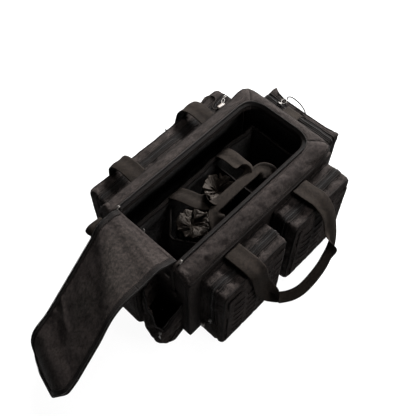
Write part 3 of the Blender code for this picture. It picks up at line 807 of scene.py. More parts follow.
def make_walls():
    """The bag's base and walls. The near wall has a padded top edge and a bound seam down each side."""
    walls = (("front_wall", 0.0008), ("back_wall", 0.0030), ("far_wall", 0.0012), ("base_panel", 0.0008))
    for node, swell in walls:
        slab(node, NYLON, "nylon", swell)
    slab("base_board", BOARD, "board", 0.0003)
    low, high = corners("near_wall")
    top = (low[0] + 0.009, high[1], high[2] - 0.002)
    points, faces = box_grid(low, top, PANEL_STEP)
    points = round_off(points, low, top, 0.004)
    dent = ease(1 - np.abs(points[:, 2] - 0.24) / 0.05)
    points[:, 0] += 0.0010 * bumps(points, 25, 4) - 0.003 * dent
    shape = Shape().add(points, faces)
    across = spline([(low[0] + 0.008, y, high[2] - 0.0045 + 0.001 * math.sin(60 * y))
                     for y in np.linspace(low[1] + 0.004, high[1] - 0.004, 9)], 0.004)
    sweep(shape, across, UP, round_section(0.0062, 12, 0.62))
    for y in (low[1] + 0.001, high[1] - 0.001):
        seam = spline([(low[0] + 0.001 + 0.0008 * math.sin(50 * z), y, z)
                       for z in np.linspace(0.256, 0.012, 14)], 0.004)
        tube(shape, seam, unit((-1, y * 8, 0)), 0.0020, 1)
    place(shape, "near_wall_cloth", (NYLON, BINDING), "bag", "nylon", "near_wall")


# ---------------------------------------------------------------- the lid

HINGE = np.array((-0.210, 0.0, 0.292))
LID_RISE, LID_LENGTH, LID_HALF = 28.0, 0.394, 0.0825
# The flat lid's outline, as distance from the hinge and y.
LID_CORNERS = ((0.004, 0.0825), (0.250, 0.0825), (0.374, 0.0915), (0.394, 0.0790), (0.394, -0.0080),
               (0.334, -0.0825), (0.004, -0.0825))
LID_THICK = 0.004
# Each fold's distance from the hinge at the lid's back and front edge, its angle in degrees, and how softly it
# bends at the back and at the front.
FOLDS = ((0.022, 0.056, 30.5, 0.014, 0.030), (0.051, 0.162, 32.0, 0.022, 0.056),
         (0.310, 0.353, 41.0, 0.050, 0.050))
# Each crease's start and slope across the lid, its height and width, and the side that it runs out to.
LID_CREASES = ((0.205, 0.62, 0.0022, 0.006, 1), (0.222, 0.70, -0.0016, 0.007, 1),
               (0.240, 0.10, 0.0016, 0.007, 1), (0.020, 0.10, -0.0022, 0.005, -1),
               (0.034, 0.16, -0.0018, 0.005, -1))


def turned(points, axis, degrees):
    """Points turned about an axis through the origin, each by its own angle."""
    angle = np.radians(degrees)[:, None]
    cosine, sine = np.cos(angle), np.sin(angle)
    return points * cosine + np.cross(axis, points) * sine + np.outer(points @ axis, axis) * (1 - cosine)


def fold_frame(fold):
    """A fold line on the flat lid: its middle, its direction and the one that crosses it towards the tip."""
    back, front = fold[:2]
    axis = unit((front - back, 2 * LID_HALF, 0))
    return np.array((-(back + front) / 2, 0, 0)), axis, np.cross(UP, axis)


def bend_lid(points):
    """Carries points of the flat lid to where they lie on the open lid, through its three soft folds."""
    points = np.array(points, float)
    flat = points.copy()
    for fold in reversed(FOLDS):
        middle, axis, ahead = fold_frame(fold)
        soft = np.interp(flat[:, 1], (-LID_HALF, LID_HALF), (fold[4], fold[3]))
        share = ease(((flat - middle) @ ahead / soft + 1) / 2)
        points = middle + turned(points - middle, axis, -fold[2] * share)
    return HINGE + turned(points, np.array((0.0, 1.0, 0.0)), np.full(len(points), LID_RISE))


def lid_route(inset):
    """The flat lid's outline at an inset, from its back hinge corner round the tip to its front one."""
    corners = np.array([(-d, y) for d, y in LID_CORNERS])
    ways = unit(np.diff(corners, axis=0))
    inward = np.stack([-ways[:, 1], ways[:, 0]], 1)
    turn = (inward[:-1] + inward[1:]) / (1 + np.sum(inward[:-1] * inward[1:], axis=1, keepdims=True))
    corners += np.vstack([inward[:1], turn, inward[-1:]]) * inset
    route = even(corners, 0.003)[0]
    relax(route, 9)
    return np.c_[route, np.zeros(len(route))]


def lid_half(distance, back):
    """Half the lid's width at a distance from its hinge, on its back or its front side."""
    route = lid_route(0.0)
    tip = int(np.argmin(route[:, 0]))
    behind = np.interp(distance, -route[:tip, 0], route[:tip, 1])
    ahead = np.interp(distance, -route[:tip:-1, 0], -route[:tip:-1, 1])
    return np.where(back, behind, np.maximum(ahead, 0.002))


def lid_ups(flat):
    """The open lid's upward direction at points of the flat one."""
    lifted = np.array(flat, float) + (0, 0, 0.001)
    return unit(bend_lid(lifted) - bend_lid(flat))


def lid_surface(flat):
    """The height of the soft panel above the flat lid: diagonal creases and small dents."""
    d, y = -flat[:, 0], flat[:, 1]
    crease = np.zeros(len(flat))
    for start, slope, deep, wide, side in LID_CREASES:
        line = (d - start - slope * (LID_HALF - y)) / wide
        crease += deep * np.exp(-(line**2)) * ease((side * y + 0.02) / 0.05)
    rough = 0.0009 * bumps(flat, 42, 2) + 0.0005 * bumps(flat, 110, 5)
    edge = ease((lid_half(d, y > 0) - np.abs(y)) / 0.02) * ease((LID_LENGTH - d) / 0.02)
    return (crease + rough) * edge


def lid_outline(inset, first, last):
    """The parts of the lid's outline, at an inset, between two lines across it, with a little overlap."""
    flat = lid_route(inset)
    distance, y, overlap = -flat[:, 0], flat[:, 1], 0.0021
    index = np.flatnonzero((distance >= first(y) - overlap) & (distance <= last(y) + overlap))
    return [flat[run] for run in np.split(index, np.flatnonzero(np.diff(index) > 1) + 1) if len(run) > 2]


def line_across(back, front):
    """A line across the lid, as its distance from the hinge at each y."""
    return lambda y: back + (front - back) * (LID_HALF - y) / (2 * LID_HALF)


def split_line(a, b):
    """The line halfway between two folds."""
    return line_across((FOLDS[a][0] + FOLDS[b][0]) / 2, (FOLDS[a][1] + FOLDS[b][1]) / 2)


def lid_piece(name, first, last, bodies, fold, nodes):
    """One length of the lid between two lines across it, shaped round one fold."""
    shape = Shape()
    v = np.linspace(-1, 1, 47)
    edges = np.linspace(-LID_HALF, LID_HALF, 5)
    rows = max(6, round(float(np.max(last(edges) - first(edges))) / 0.004))
    for lift in (0.0, -LID_THICK):
        grid = []
        for t in np.linspace(0, 1, rows):
            y = v * LID_HALF
            for _ in range(3):
                d = first(y) + (last(y) - first(y)) * t
                y = v * lid_half(d, v > 0)
            grid.append(np.stack([-d, y, np.zeros(len(v))], 1))
        grid = np.array(grid).reshape(-1, 3)
        grid[:, 2] = lid_surface(grid) + lift
        shape.add(bend_lid(grid), grid_faces(rows, len(v)), grid[:, :2])
    for inset, lift, radius, sides in ((0.0016, -0.0018, 0.0026, 10), (0.0100, 0.0002, 0.0017, 8)):
        for flat in lid_outline(inset, first, last):
            tube(shape, bend_lid(flat + (0, 0, lift)), lid_ups(flat), radius, 1, sides)
    for flat in lid_outline(0.0058, first, last):
        zipper(shape, bend_lid(flat + (0, 0, 0.0004)), lid_ups(flat), half=1)
    for flat in lid_outline(0.0128, first, last):
        stitches(shape, bend_lid(flat + (0, 0, 0.0004)), lid_ups(flat), 4)
    middle, _, ahead = fold_frame(fold)
    soft = (fold[3] + fold[4]) / 2
    ends = bend_lid(np.array([middle - ahead * soft, middle + ahead * soft]))
    place_across(shape, name, POCKET_LOOKS, bodies, *ends, 0.3, *nodes)


def make_lid():
    """The lid in three lengths, one for each fold, and the strip of its fabric over the hinge."""
    root_line, end_line = line_across(0.002, 0.002), line_across(LID_LENGTH, LID_LENGTH)
    first_split, second_split = split_line(0, 1), split_line(1, 2)
    lid_piece("lid_root_cloth", root_line, first_split, ("lid_root", "lid_bend"), FOLDS[0],
              ("lid_hinge_panel",))
    lid_piece("lid_middle_cloth", first_split, second_split, ("lid_bend", "lid_main"), FOLDS[1],
              ("lid_bend_panel", "lid_main_panel"))
    lid_piece("lid_end_cloth", second_split, end_line, ("lid_main", "lid_tip"), FOLDS[2], ("lid_tip_panel",))
    y = np.linspace(-LID_HALF, LID_HALF, 50)
    rows = [(-0.2165, RIM - 0.0010), (-0.2135, RIM + 0.0022), (-0.2105, 0.2915), (-0.2130, 0.2940),
            (-0.2170, 0.2962)]
    profile = spline([(x, 0, z) for x, z in rows], 0.0012)
    grid = profile[:, None] + np.stack([y * 0, y, 0.0007 * np.sin(y * 90)], 1)[None]
    made = Shape().add_grid(grid).add_grid(grid - (0, 0, 0.0020)).make("lid_hinge_strip", NYLON)
    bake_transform(made)


# ---------------------------------------------------------------- straps

# The places along each strap, in millimetres: x, y, z, the direction of its width, and how wide it lies there.
FRONT_HANDLE = (
    (-107, -130.5, 258, 1, 0, 0, 50), (-106, -154, 257.5, 1, 0, 0, 50), (-105, -181, 256, 1, 0, 0, 50),
    (-102, -201, 242, 1, 0, 0, 50), (-99, -208, 212, 1, 0, 0, 50), (-94, -213, 180, 1, 0, 0.1, 48),
    (-83, -222, 150, 0.8, 0.1, 0.6, 40), (-66, -238, 131, 0.3, 0.5, 0.8, 31),
    (-44, -252, 122, 0, 0.75, 0.65, 26), (-14, -261, 123, 0, 0.75, 0.65, 25),
    (24, -263, 136, 0, 0.72, 0.65, 25), (56, -260, 153, -0.25, 0.65, 0.66, 26),
    (80, -250, 176, -0.6, 0.45, 0.6, 36), (98, -233, 204, -0.9, 0.15, 0.35, 48), (109, -212, 234, -1, 0, 0.1, 50),
    (110, -185, 256, -1, 0, 0, 50), (107, -157, 258.5, -1, 0, 0, 50), (106.5, -130.5, 258, -1, 0, 0, 50),
)
BACK_HANDLE = (
    (105, 130.5, 258, -1, 0, 0, 50), (105, 160, 262, -1, 0, 0, 50), (104, 186, 258, -1, 0, 0, 50),
    (102, 204, 240, -1, 0, 0, 50), (99, 212, 205, -1, 0, 0, 50), (95, 215, 172, -1, 0, 0, 50),
    (80, 222, 142, -0.8, -0.1, 0.6, 40), (52, 231, 124, -0.2, -0.2, 0.9, 28),
    (12, 236, 116, 0, -0.3, 0.95, 25), (-32, 236, 116, 0, -0.3, 0.95, 25),
    (-68, 231, 124, 0.2, -0.2, 0.9, 28), (-94, 222, 142, 0.8, -0.1, 0.6, 40),
    (-107, 215, 172, 1, 0, 0, 50), (-111, 212, 205, 1, 0, 0, 50), (-113, 204, 240, 1, 0, 0, 50),
    (-113, 186, 258, 1, 0, 0, 50), (-112.5, 160, 262, 1, 0, 0, 50), (-112, 130.5, 258, 1, 0, 0, 50),
)
TOTE_BACK_HANDLE = (
    (-75, 64, 223, 1, 0, 0, 42), (-75, 52, 233, 1, 0, 0, 42), (-71, 30, 241, 1, 0, 0, 42),
    (-64, 2, 243, 1, 0.2, 0, 40), (-52, -22, 246, 0.7, 0.7, 0, 29), (-30, -31, 247, 0.1, 1, 0, 22),
    (0, -32, 247, 0, 1, 0, 22), (36, -32, 247, 0, 1, 0, 22), (58, -29, 247, -0.4, 0.9, 0, 24),
    (69, -16, 246, -0.85, 0.4, 0, 33), (70, 6, 243, -1, 0.1, 0, 41), (72, 30, 241, -1, 0, 0, 42),
    (74, 52, 233, -1, 0, 0, 42), (75, 64, 223, -1, 0, 0, 42),
)
TOTE_FRONT_HANDLE = (
    (-77, -64, 223, 1, 0, 0, 42), (-74, -60, 233, 1, 0, 0, 42), (-66, -53, 243, 0.95, -0.2, 0, 42),
    (-55, -44, 250, 0.7, -0.7, 0, 34), (-34, -38, 252, 0, -1, 0, 23), (0, -37, 252, 0, -1, 0, 22),
    (34, -37, 252, 0, -1, 0, 22), (60, -38, 252, -0.2, -1, 0, 24), (79, -41, 251, -0.7, -0.7, 0, 33),
    (92, -48, 247, -1, -0.1, 0, 42), (101, -57, 239, -1, 0, 0, 42), (105, -64, 224, -1, 0, 0, 42),
)
STRAP_THICK = 0.0022
STRAP_POINTS = 19


def folded_section(share, full):
    """The cross-section of webbing whose second half is folded behind its first by a share of a half turn."""
    c = np.linspace(-1, 1, STRAP_POINTS) * full / 2
    angle = math.pi * share * ease((c + 0.0015) / 0.003)
    middle = np.zeros((STRAP_POINTS, 2))
    step = np.diff(c)
    half = STRAP_POINTS // 2
    for k in range(half, STRAP_POINTS - 1):
        turn = (angle[k] + angle[k + 1]) / 2
        middle[k + 1] = middle[k] + step[k] * np.array((math.cos(turn), -math.sin(turn)))
    middle[:half + 1, 0] = c[:half + 1]
    middle[:, 1] += 0.00072 * np.sin(c / full * 9) * (1 - share)
    middle[:, 0] += full / 4 * share
    tangent = unit(np.gradient(middle, axis=0))
    thick = np.full(STRAP_POINTS, STRAP_THICK / 2)
    thick[[0, -1]] *= 0.5
    offset = np.stack([-tangent[:, 1], tangent[:, 0]], 1) * thick[:, None]
    section = np.concatenate([middle + offset, (middle - offset)[::-1]])
    return section * (0.86 + 0.14 * share, 1.0)


def strap(name, stations, node, body):
    """Webbing through its stations. Where it lies narrower than its full width, it is folded lengthwise."""
    rows = np.array(stations, float)
    rows[:, [0, 1, 2, 6]] /= 1000
    full = rows[:, 6].max()
    rows = spline(rows, 0.004)
    path, width = rows[:, :3], rows[:, 6]
    tangent = unit(np.gradient(path, axis=0))
    side = unit(rows[:, 3:6] - tangent * np.sum(rows[:, 3:6] * tangent, axis=1, keepdims=True))
    up = np.cross(side, tangent)
    share = np.clip((full - width) / (full * 0.48), 0, 1)
    section = np.stack([folded_section(ease(s), full) for s in share])
    points = path[:, None] + side[:, None] * section[..., :1] + up[:, None] * section[..., 1:]
    across = np.linspace(-1, 1, STRAP_POINTS) * full / 2
    coords = np.stack(np.broadcast_arrays(distances(path)[:, None], np.r_[across, across[::-1]]), -1)
    shape = Shape().add(points, tube_faces(*points.shape[:2]), coords)
    flat = np.flatnonzero(share < 0.6)
    runs = [run for run in np.split(flat, np.flatnonzero(np.diff(flat) > 1) + 1) if len(run) > 4]
    for column in (2, STRAP_POINTS - 3):
        for run in runs:
            stitches(shape, points[run, column], up[run], 1, 0, 0.0002)
    place(shape, name, (WEBBING, THREAD), body, "webbing", node)


def make_straps():
    handles = {"front_handle": FRONT_HANDLE, "back_handle": BACK_HANDLE, "tote_handle_back": TOTE_BACK_HANDLE,
               "tote_handle_front": TOTE_FRONT_HANDLE}
    for node, stations in handles.items():
        strap(node + "_webbing", stations, node, node)


# ---------------------------------------------------------------- pockets

class Pocket:
    """A padded pocket that grows out of a wall, along one axis: sign is the way it sticks out.

    longer is how much further than its CAD solid the cloth reaches, past its low and its high corner, and peaks
    are the places that its pointed corners are drawn out to.
    """

    def __init__(self, node, axis, sign, radius, swell, seed, step=0.0055, longer=(0, 0), peaks=()):
        self.low, self.high = (v + more for v, more in zip(corners(node), longer))
        self.node, self.axis, self.sign, self.radius = node, axis, sign, radius
        self.along = 1 - axis
        self.wall, self.face = (self.low[axis], self.high[axis])[::sign]
        self.depth = abs(self.face - self.wall)
        low, high = self.low.copy(), self.high.copy()
        (low if sign > 0 else high)[axis] -= sign * radius
        points, faces = box_grid(low, high, step)
        points = round_off(points, low, high, radius)
        out = (points[:, axis] - self.wall) * sign
        held = out < 0.004
        points[:, axis] = self.wall + sign * np.maximum(out, 0)
        middle, half = (self.low + self.high) / 2, (self.high - self.low) / 2
        share = (points - middle) / half
        dome = np.clip(1 - share[:, self.along] ** 4, 0, 1) * np.clip(1 - share[:, 2] ** 4, 0, 1)
        points[:, axis] += sign * swell * dome * ease(out / 0.04)
        self.shape_folds(points, share, out)
        for peak in peaks:
            away = np.linalg.norm(points - peak, axis=1)
            nearest = points[int(np.argmin(away))].copy()
            near = np.clip(1 - np.linalg.norm(points - nearest, axis=1) / 0.035, 0, 1)
            points += (near**2)[:, None] * (np.array(peak) - nearest)
        edge = np.abs(out - self.depth) < 0.006
        rim = np.abs(share[:, [self.along, 2]]).max(axis=1) > 0.93
        points += (0.0008 * bumps(points, (45, 45, 25), seed))[:, None] * ~held[:, None]
        points = crumple(points, faces, held | (edge & rim), 0.03, 0.0022)
        self.skin = Skin(points, faces)
        self.shape = Shape().add(points, faces)

    def shape_folds(self, points, share, out):
        """Soft creases down the ends, a sag along the top and a dent across the foot."""
        corner = np.clip(np.abs(share[:, self.along]) * 3 - 2, 0, 1)
        height = np.clip((share[:, 2] + 1) / 2, 0, 1)
        wave_of = np.sin(out * 330 + points[:, 2] * 26) * 0.0015 * corner * height * (1 - height) * 4
        points[:, self.along] += wave_of * np.sign(share[:, self.along])
        top = ease((height - 0.9) / 0.1)
        points[:, 2] -= top * 0.0025 * np.clip(1 - share[:, self.along] ** 2, 0, 1)
        points[:, self.axis] -= self.sign * 0.002 * np.exp(-((height - 0.20) / 0.03) ** 2) * ease(out / 0.05)

    def flat_line(self, places, depth):
        """A line on the pocket at one depth, from its places along the wall and above the floor."""
        path = np.zeros((len(places), 3))
        path[:, [self.along, 2]] = places
        path[:, self.axis] = self.wall + self.sign * depth
        return path

    def arch(self, share, low):
        """A line down both ends and over the top, at a share of the pocket's depth."""
        near, far = self.low[self.along], self.high[self.along]
        top, r = self.high[2], self.radius
        turns = np.linspace(0, math.pi / 2, 9)
        flat = [(near, z) for z in np.arange(low, top - r, 0.005)]
        flat += [(near + r - r * math.cos(a), top - r + r * math.sin(a)) for a in turns]
        flat += [(u, top) for u in np.arange(near + r, far - r, 0.005)[1:]]
        flat += [(far - r + r * math.sin(a), top - r + r * math.cos(a)) for a in turns]
        flat += [(far, z) for z in np.arange(low, top - r, 0.005)[::-1]]
        return self.flat_line(flat, self.depth * share)

    def front_edge(self, inset=0.0):
        """The closed line round the pocket's front face."""
        r = self.radius
        shift = r * 0.29  # how far the rounded edge lies inside the sharp one
        near, far = self.low[self.along] + shift + inset, self.high[self.along] - shift - inset
        low, top = self.low[2] + shift + inset, self.high[2] - shift - inset
        rows = []
        corners = ((far - r, top - r, 0), (near + r, top - r, 90), (near + r, low + r, 180), (far - r, low + r, 270))
        for u, z, start in corners:
            for a in np.radians(np.linspace(start, start + 90, 8)):
                rows.append((u + r * math.cos(a), z + r * math.sin(a)))
        path = self.flat_line(rows, self.depth - shift)
        return even(np.vstack([path, path[:1]]), 0.004)[0]

    def piping(self, path, radius):
        tube(self.shape, *self.skin.lay(path), radius, 1)

    def trim(self, low, share):
        """Piping round the front, the zipper over the top between two welts, and the seams beside them."""
        self.piping(self.front_edge(), 0.0021)
        stitches(self.shape, *self.skin.lay(self.front_edge(0.007)), 4)
        zipper(self.shape, *self.skin.lay(self.arch(share, low), 0.0004))
        for side in (-1, 1):
            self.piping(self.arch(share + side * 0.0088 / self.depth, low), 0.0022)
            seam = self.arch(share + side * 0.0135 / self.depth, low)
            stitches(self.shape, *self.skin.lay(seam, 0.0002), 4)
        self.piping(self.arch(0.10, self.low[2] + 0.01), 0.0017)
        return self

    def put(self, *nodes):
        place(self.shape, self.node + "_cloth", POCKET_LOOKS, "bag", "nylon", self.node, *nodes, fill=0.6)


def grid_lines(low, high, count, edges):
    """About count evenly spaced lines, with one at each edge too, and none almost on its neighbour."""
    lines = sorted({*np.linspace(low, high, count).tolist(), *edges})
    return [x for k, x in enumerate(lines) if k == 0 or x - lines[k - 1] > 0.0004]


def slotted_panel(node):
    """The stiff panel on a front pouch: a cloth sheet with four columns of slots, and a dark tape sheet behind it as
    painted shade in the slots.
    """
    low, high = corners(node)
    width, pitch, tall, columns = 0.030, 0.025, 0.008, 4
    rows = list(np.arange(low[2] + 0.016, high[2] - 0.010, pitch))
    gap = (high[0] - low[0] - columns * width) / (columns + 1)
    starts = [low[0] + gap + k * (width + gap) for k in range(columns)]
    xs = grid_lines(low[0], high[0], 44, [*starts, *(s + width for s in starts)])
    zs = grid_lines(low[2], high[2], 50, [*rows, *(z + tall for z in rows)])

    def open_at(x, z):
        return any(s < x < s + width for s in starts) and any(r < z < r + tall for r in rows)

    grid = np.array([[(x, low[1] - 0.0003, z) for z in zs] for x in xs]).reshape(-1, 3)
    middle, half = (low + high) / 2, (high - low) / 2
    share = (grid - middle) / half
    swell = 0.0015 + 0.0055 * np.clip(1 - share[:, 0] ** 4, 0, 1) * np.clip(1 - share[:, 2] ** 4, 0, 1)
    grid[:, 1] -= swell + 0.0006 * bumps(grid, 40, low[0] * 90)
    lip = np.zeros(len(grid))
    for s in starts:
        for r in rows:
            dx = np.maximum(np.maximum(s - grid[:, 0], grid[:, 0] - s - width), 0)
            dz = np.maximum(np.maximum(r - grid[:, 2], grid[:, 2] - r - tall), 0)
            lip = np.maximum(lip, 1 - np.hypot(dx, dz) / 0.004)
    grid[:, 1] -= 0.0018 * lip
    back = grid + (0, 0.0026, 0)
    count = len(zs)
    cells = {}
    for i in range(len(xs) - 1):
        for j in range(count - 1):
            if not open_at((xs[i] + xs[i + 1]) / 2, (zs[j] + zs[j + 1]) / 2):
                cells[i, j] = (i * count + j, i * count + j + 1, (i + 1) * count + j + 1, (i + 1) * count + j)
    total = len(grid)
    faces = list(cells.values())
    faces += [tuple(k + total for k in reversed(cell)) for cell in cells.values()]
    sides = (((-1, 0), (0, 1)), ((0, 1), (1, 2)), ((1, 0), (2, 3)), ((0, -1), (3, 0)))
    for (i, j), cell in cells.items():
        for (di, dj), (p, q) in sides:
            if (i + di, j + dj) not in cells:
                faces.append((cell[q], cell[p], cell[p] + total, cell[q] + total))
    shape = Shape().add(np.vstack([grid, back]), faces)
    # The dark tape sheet just behind the panel is painted shade: it makes the slots show dark.
    shape.add(back + (0, 0.0004, 0), grid_faces(len(xs), count), None, 1)
    place(shape, node + "_cloth", (NYLON, TAPE_AND_SLOT_SHADE), "bag", "nylon", node)


def make_pockets():
    """The five outer pockets, as far as they are padded boxes."""
    for side, seed in (("near", 1), ("far", 5)):
        node = "front_pouch_" + side
        Pocket(node, 1, -1, 0.009, 0.004, seed).trim(0.080, 0.504).put(node + "_zipper")
        slotted_panel("slotted_panel_" + side)
    pocket = Pocket("back_pocket", 1, 1, 0.010, 0.004, 9, longer=((-0.014, 0, 0), (0, 0, 0.002)),
                    peaks=((-0.196, 0.1960, 0.2300),))
    pocket.trim(0.060, 0.50).put("back_pocket_zipper")
    pocket = Pocket("far_end_pocket", 0, 1, 0.006, 0.004, 12, longer=((0, -0.003, 0), (0.002, 0, 0.002)),
                    peaks=((0.299, 0.0900, 0.2400), (0.296, -0.0990, 0.2320)))
    pocket.trim(0.080, 0.66).put("far_end_zipper")
    Pocket("near_end_pocket", 0, -1, 0.014, 0.002, 15, 0.0045).trim(0.060, 0.55).put()


# ---------------------------------------------------------------- the sagging near pocket, tabs and tag

def plan_line(rows, count):
    """A smooth line through places seen from above, as count points."""
    line = spline([(x, y, 0) for x, y in rows], 0.002)
    share = np.linspace(0, 1, len(line))
    return np.stack([np.interp(np.linspace(0, 1, count), share, line[:, k]) for k in range(2)], 1)


def near_pocket():
    """The unzipped end pocket: a soft bowl that hangs off the near wall with a V-shaped mouth."""
    across, up = 78, 36
    wall, foot_height = -0.2258, 0.0045
    low = plan_line([(wall, -0.034), (-0.250, -0.031), (-0.271, -0.036), (-0.281, -0.060), (-0.284, -0.088),
                     (-0.280, -0.104), (-0.262, -0.1105), (-0.243, -0.108), (wall, -0.104)], across)
    high = plan_line([(wall, -0.034), (-0.250, -0.036), (-0.273, -0.045), (-0.283, -0.062), (-0.289, -0.084),
                      (-0.286, -0.100), (-0.268, -0.109), (-0.245, -0.109), (wall, -0.107)], across)
    t = np.linspace(0, 1, across)
    mouth = np.interp(t, (0, 0.16, 0.30, 0.45, 0.57, 0.66, 0.78, 1.0),
                      (0.188, 0.189, 0.186, 0.160, 0.112, 0.098, 0.128, 0.150))
    grid = np.zeros((across, up, 3))
    for k, share in enumerate(np.linspace(0, 1, up)):
        belly = 1 + 0.10 * math.sin(math.pi * share) - 0.16 * (1 - share) ** 4
        plan = low * (1 - share) + high * share
        grid[:, k, 0] = wall + (plan[:, 0] - wall) * belly
        grid[:, k, 1] = plan[:, 1]
        grid[:, k, 2] = foot_height + (mouth - foot_height) * share
    flat = grid.reshape(-1, 3)
    out = unit(np.stack([flat[:, 0] - wall - 0.001, (flat[:, 1] + 0.072) * 0.8, flat[:, 2] * 0], 1))
    free = ease((wall - flat[:, 0]) / 0.02)
    folds = 0.0022 * np.sin(flat[:, 2] * 120 + flat[:, 1] * 90 + 2.5 * bumps(flat, 14, 3))
    flat = flat + out * ((folds + 0.0020 * bumps(flat, 34, 6)) * free)[:, None]
    faces = grid_faces(across, up)
    held = np.ones((across, up), bool)
    held[1:-1, 1:-1] = False
    flat = crumple(flat, faces, held.ravel(), 0.07, 0.006)
    skin = Skin(flat, faces)
    shape = Shape().add(flat, faces).add(flat - out * 0.0024, faces)
    grid = flat.reshape(across, up, 3)
    foot = grid[:, 0] * (0, 0.9, 0) + (wall + 0.001, -0.007, foot_height)
    shape.add_grid(np.array([grid[:, 0] * (1 - k) + foot * k for k in np.linspace(0, 1, 6)]))
    ups = unit(out.reshape(across, up, 3)[:, -1] + (0, 0, 0.25))
    zipper(shape, grid[:, -1] - (0, 0, 0.003) + ups * 0.0006, ups, half=-1)
    tube(shape, grid[:, -1], ups, 0.0017, 1)
    stitches(shape, *skin.lay(grid[:, up - 5], 0.0004), 4)
    tube(shape, *skin.lay(grid[:, 6], 0.0004), 0.0018, 1)
    place_across(shape, "near_pocket_cloth", POCKET_LOOKS, ("bag", "near_pocket_flap"), (wall, 0, 0.05),
                 (-0.262, 0, 0.05), 0.1, "near_pocket_front", "near_pocket_cheek")


def tabs_and_tag():
    """The webbing tabs of the near back corner and the far end, and the blank tag on the near wall."""
    corner = ((-226, 223.5), (-243, 226.5), (-259, 226.5), (-268, 217), (-260, 204), (-243, 202), (-226.5, 203))
    far = ((226.5, 244.5), (238, 247.5), (250, 246), (262, 242.5), (272, 240.5))
    strap("corner_tab_webbing", [(x, 123, z, 0, 1, 0, 26) for x, z in corner], "corner_tab", "bag")
    strap("far_tab_webbing", [(x, 12, z, 0, 1, 0, 50) for x, z in far], "far_end_tab", "bag")
    tag = Shape()
    block(tag, (-0.2320, -0.0745, 0.2500), np.eye(3), (0.0024, 0.0115, 0.0110), 0.0008, 0.0008)
    place(tag, "blank_tag", (LABEL,), "bag", "nylon")


# ---------------------------------------------------------------- zipper hardware

AHEAD = np.array((1.0, 0.0, 0.0))


def middle_of(node):
    low, high = corners(node)
    return (low + high) / 2


def main_slider(side):
    """One of the lid's two sliders, with the webbing pull that hangs down the near wall."""
    node = f"main_slider_{side}"
    middle = middle_of(node)
    shape = Shape()
    slider(shape, middle - (0.008, 0, 0.0006), (1, 0, 0), UP)
    place(shape, node + "_metal", (METAL,), node, "metal", node)
    y = middle[1]
    route = spline([(-0.2075, y, 0.2935), (-0.2160, y, 0.2950), (-0.2255, y, 0.2900), (-0.2290, y, 0.2780),
                    (-0.2290, y, 0.2400), (-0.2290, y, 0.2000)], 0.002)
    ups = np.cross((0, 1.0, 0), unit(np.gradient(route, axis=0)))
    shape = sweep(Shape(), route, ups, tape_section(0.0026, 0.0020))
    half = np.array((0.0031, 0.0070, 0.0110))
    knob, faces = box_grid(-half, half, 0.0012)
    knob = round_off(knob, -half, half, 0.0030)
    knob[:, :2] *= 1 - 0.10 * np.cos(knob[:, 2:] * 900)
    shape.add(knob + (-0.2290, y, 0.1850), faces)
    made = place(shape, f"main_pull_{side}_cord", (CORD,), node, "cord", f"main_pull_{side}")
    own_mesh(made)


def upright_slider(node, body, out, middle, with_tab=True):
    """A slider on the side of a pocket, with a metal tab or only the loop that a cord is tied to."""
    shape = Shape()
    slider(shape, middle, UP, out)
    if with_tab:
        pull_tab(shape, middle + out * 0.0024 - UP * 0.001, -UP, out)
    else:
        loop(shape, middle + out * 0.0016 - UP * 0.0068, UP, (0, 1, 0), 0.0032, 0.0028, 0.0008)
    place(shape, node + "_metal", (METAL,), body, "metal", node)


def make_sliders():
    """Every zipper's slider, except the tote's."""
    for side in ("front", "back"):
        main_slider(side)
    near, far = "front_pouch_near_slider", "front_pouch_far_slider"
    upright_slider(near, "pouch_slider_near", -AHEAD, middle_of(near), with_tab=False)
    upright_slider(far, "pouch_slider_far", AHEAD, middle_of(far))
    upright_slider("near_pocket_slider", "near_pocket_slider", -AHEAD, np.array((-0.2885, -0.1010, 0.0930)))
    middle = middle_of("back_pocket_slider")
    shape = Shape()
    slider(shape, middle, -AHEAD, UP)
    loop(shape, middle + (-0.0110, -0.0065, 0.0010), (1, 0.7, 0), (-0.7, 1, 0), 0.0075, 0.0030, 0.0008)
    place(shape, "back_pocket_slider_metal", (METAL,), "back_slider", "metal", "back_pocket_slider")
    shape = Shape()
    slider(shape, middle_of("far_end_slider"), (0, 1, 0), UP)
    place(shape, "far_end_slider_metal", (METAL,), "far_end_slider", "metal", "far_end_slider")
    shape = Shape()
    loop(shape, (0.2805, 0.0520, FAR_TOP + 0.0044), AHEAD, (0, 1.0, 0), 0.0070, 0.0062, 0.0009)
    place(shape, "far_end_ring_metal", (METAL,), "far_end_pull", "metal", "far_end_ring")


# ---------------------------------------------------------------- the tote and the satin pouches

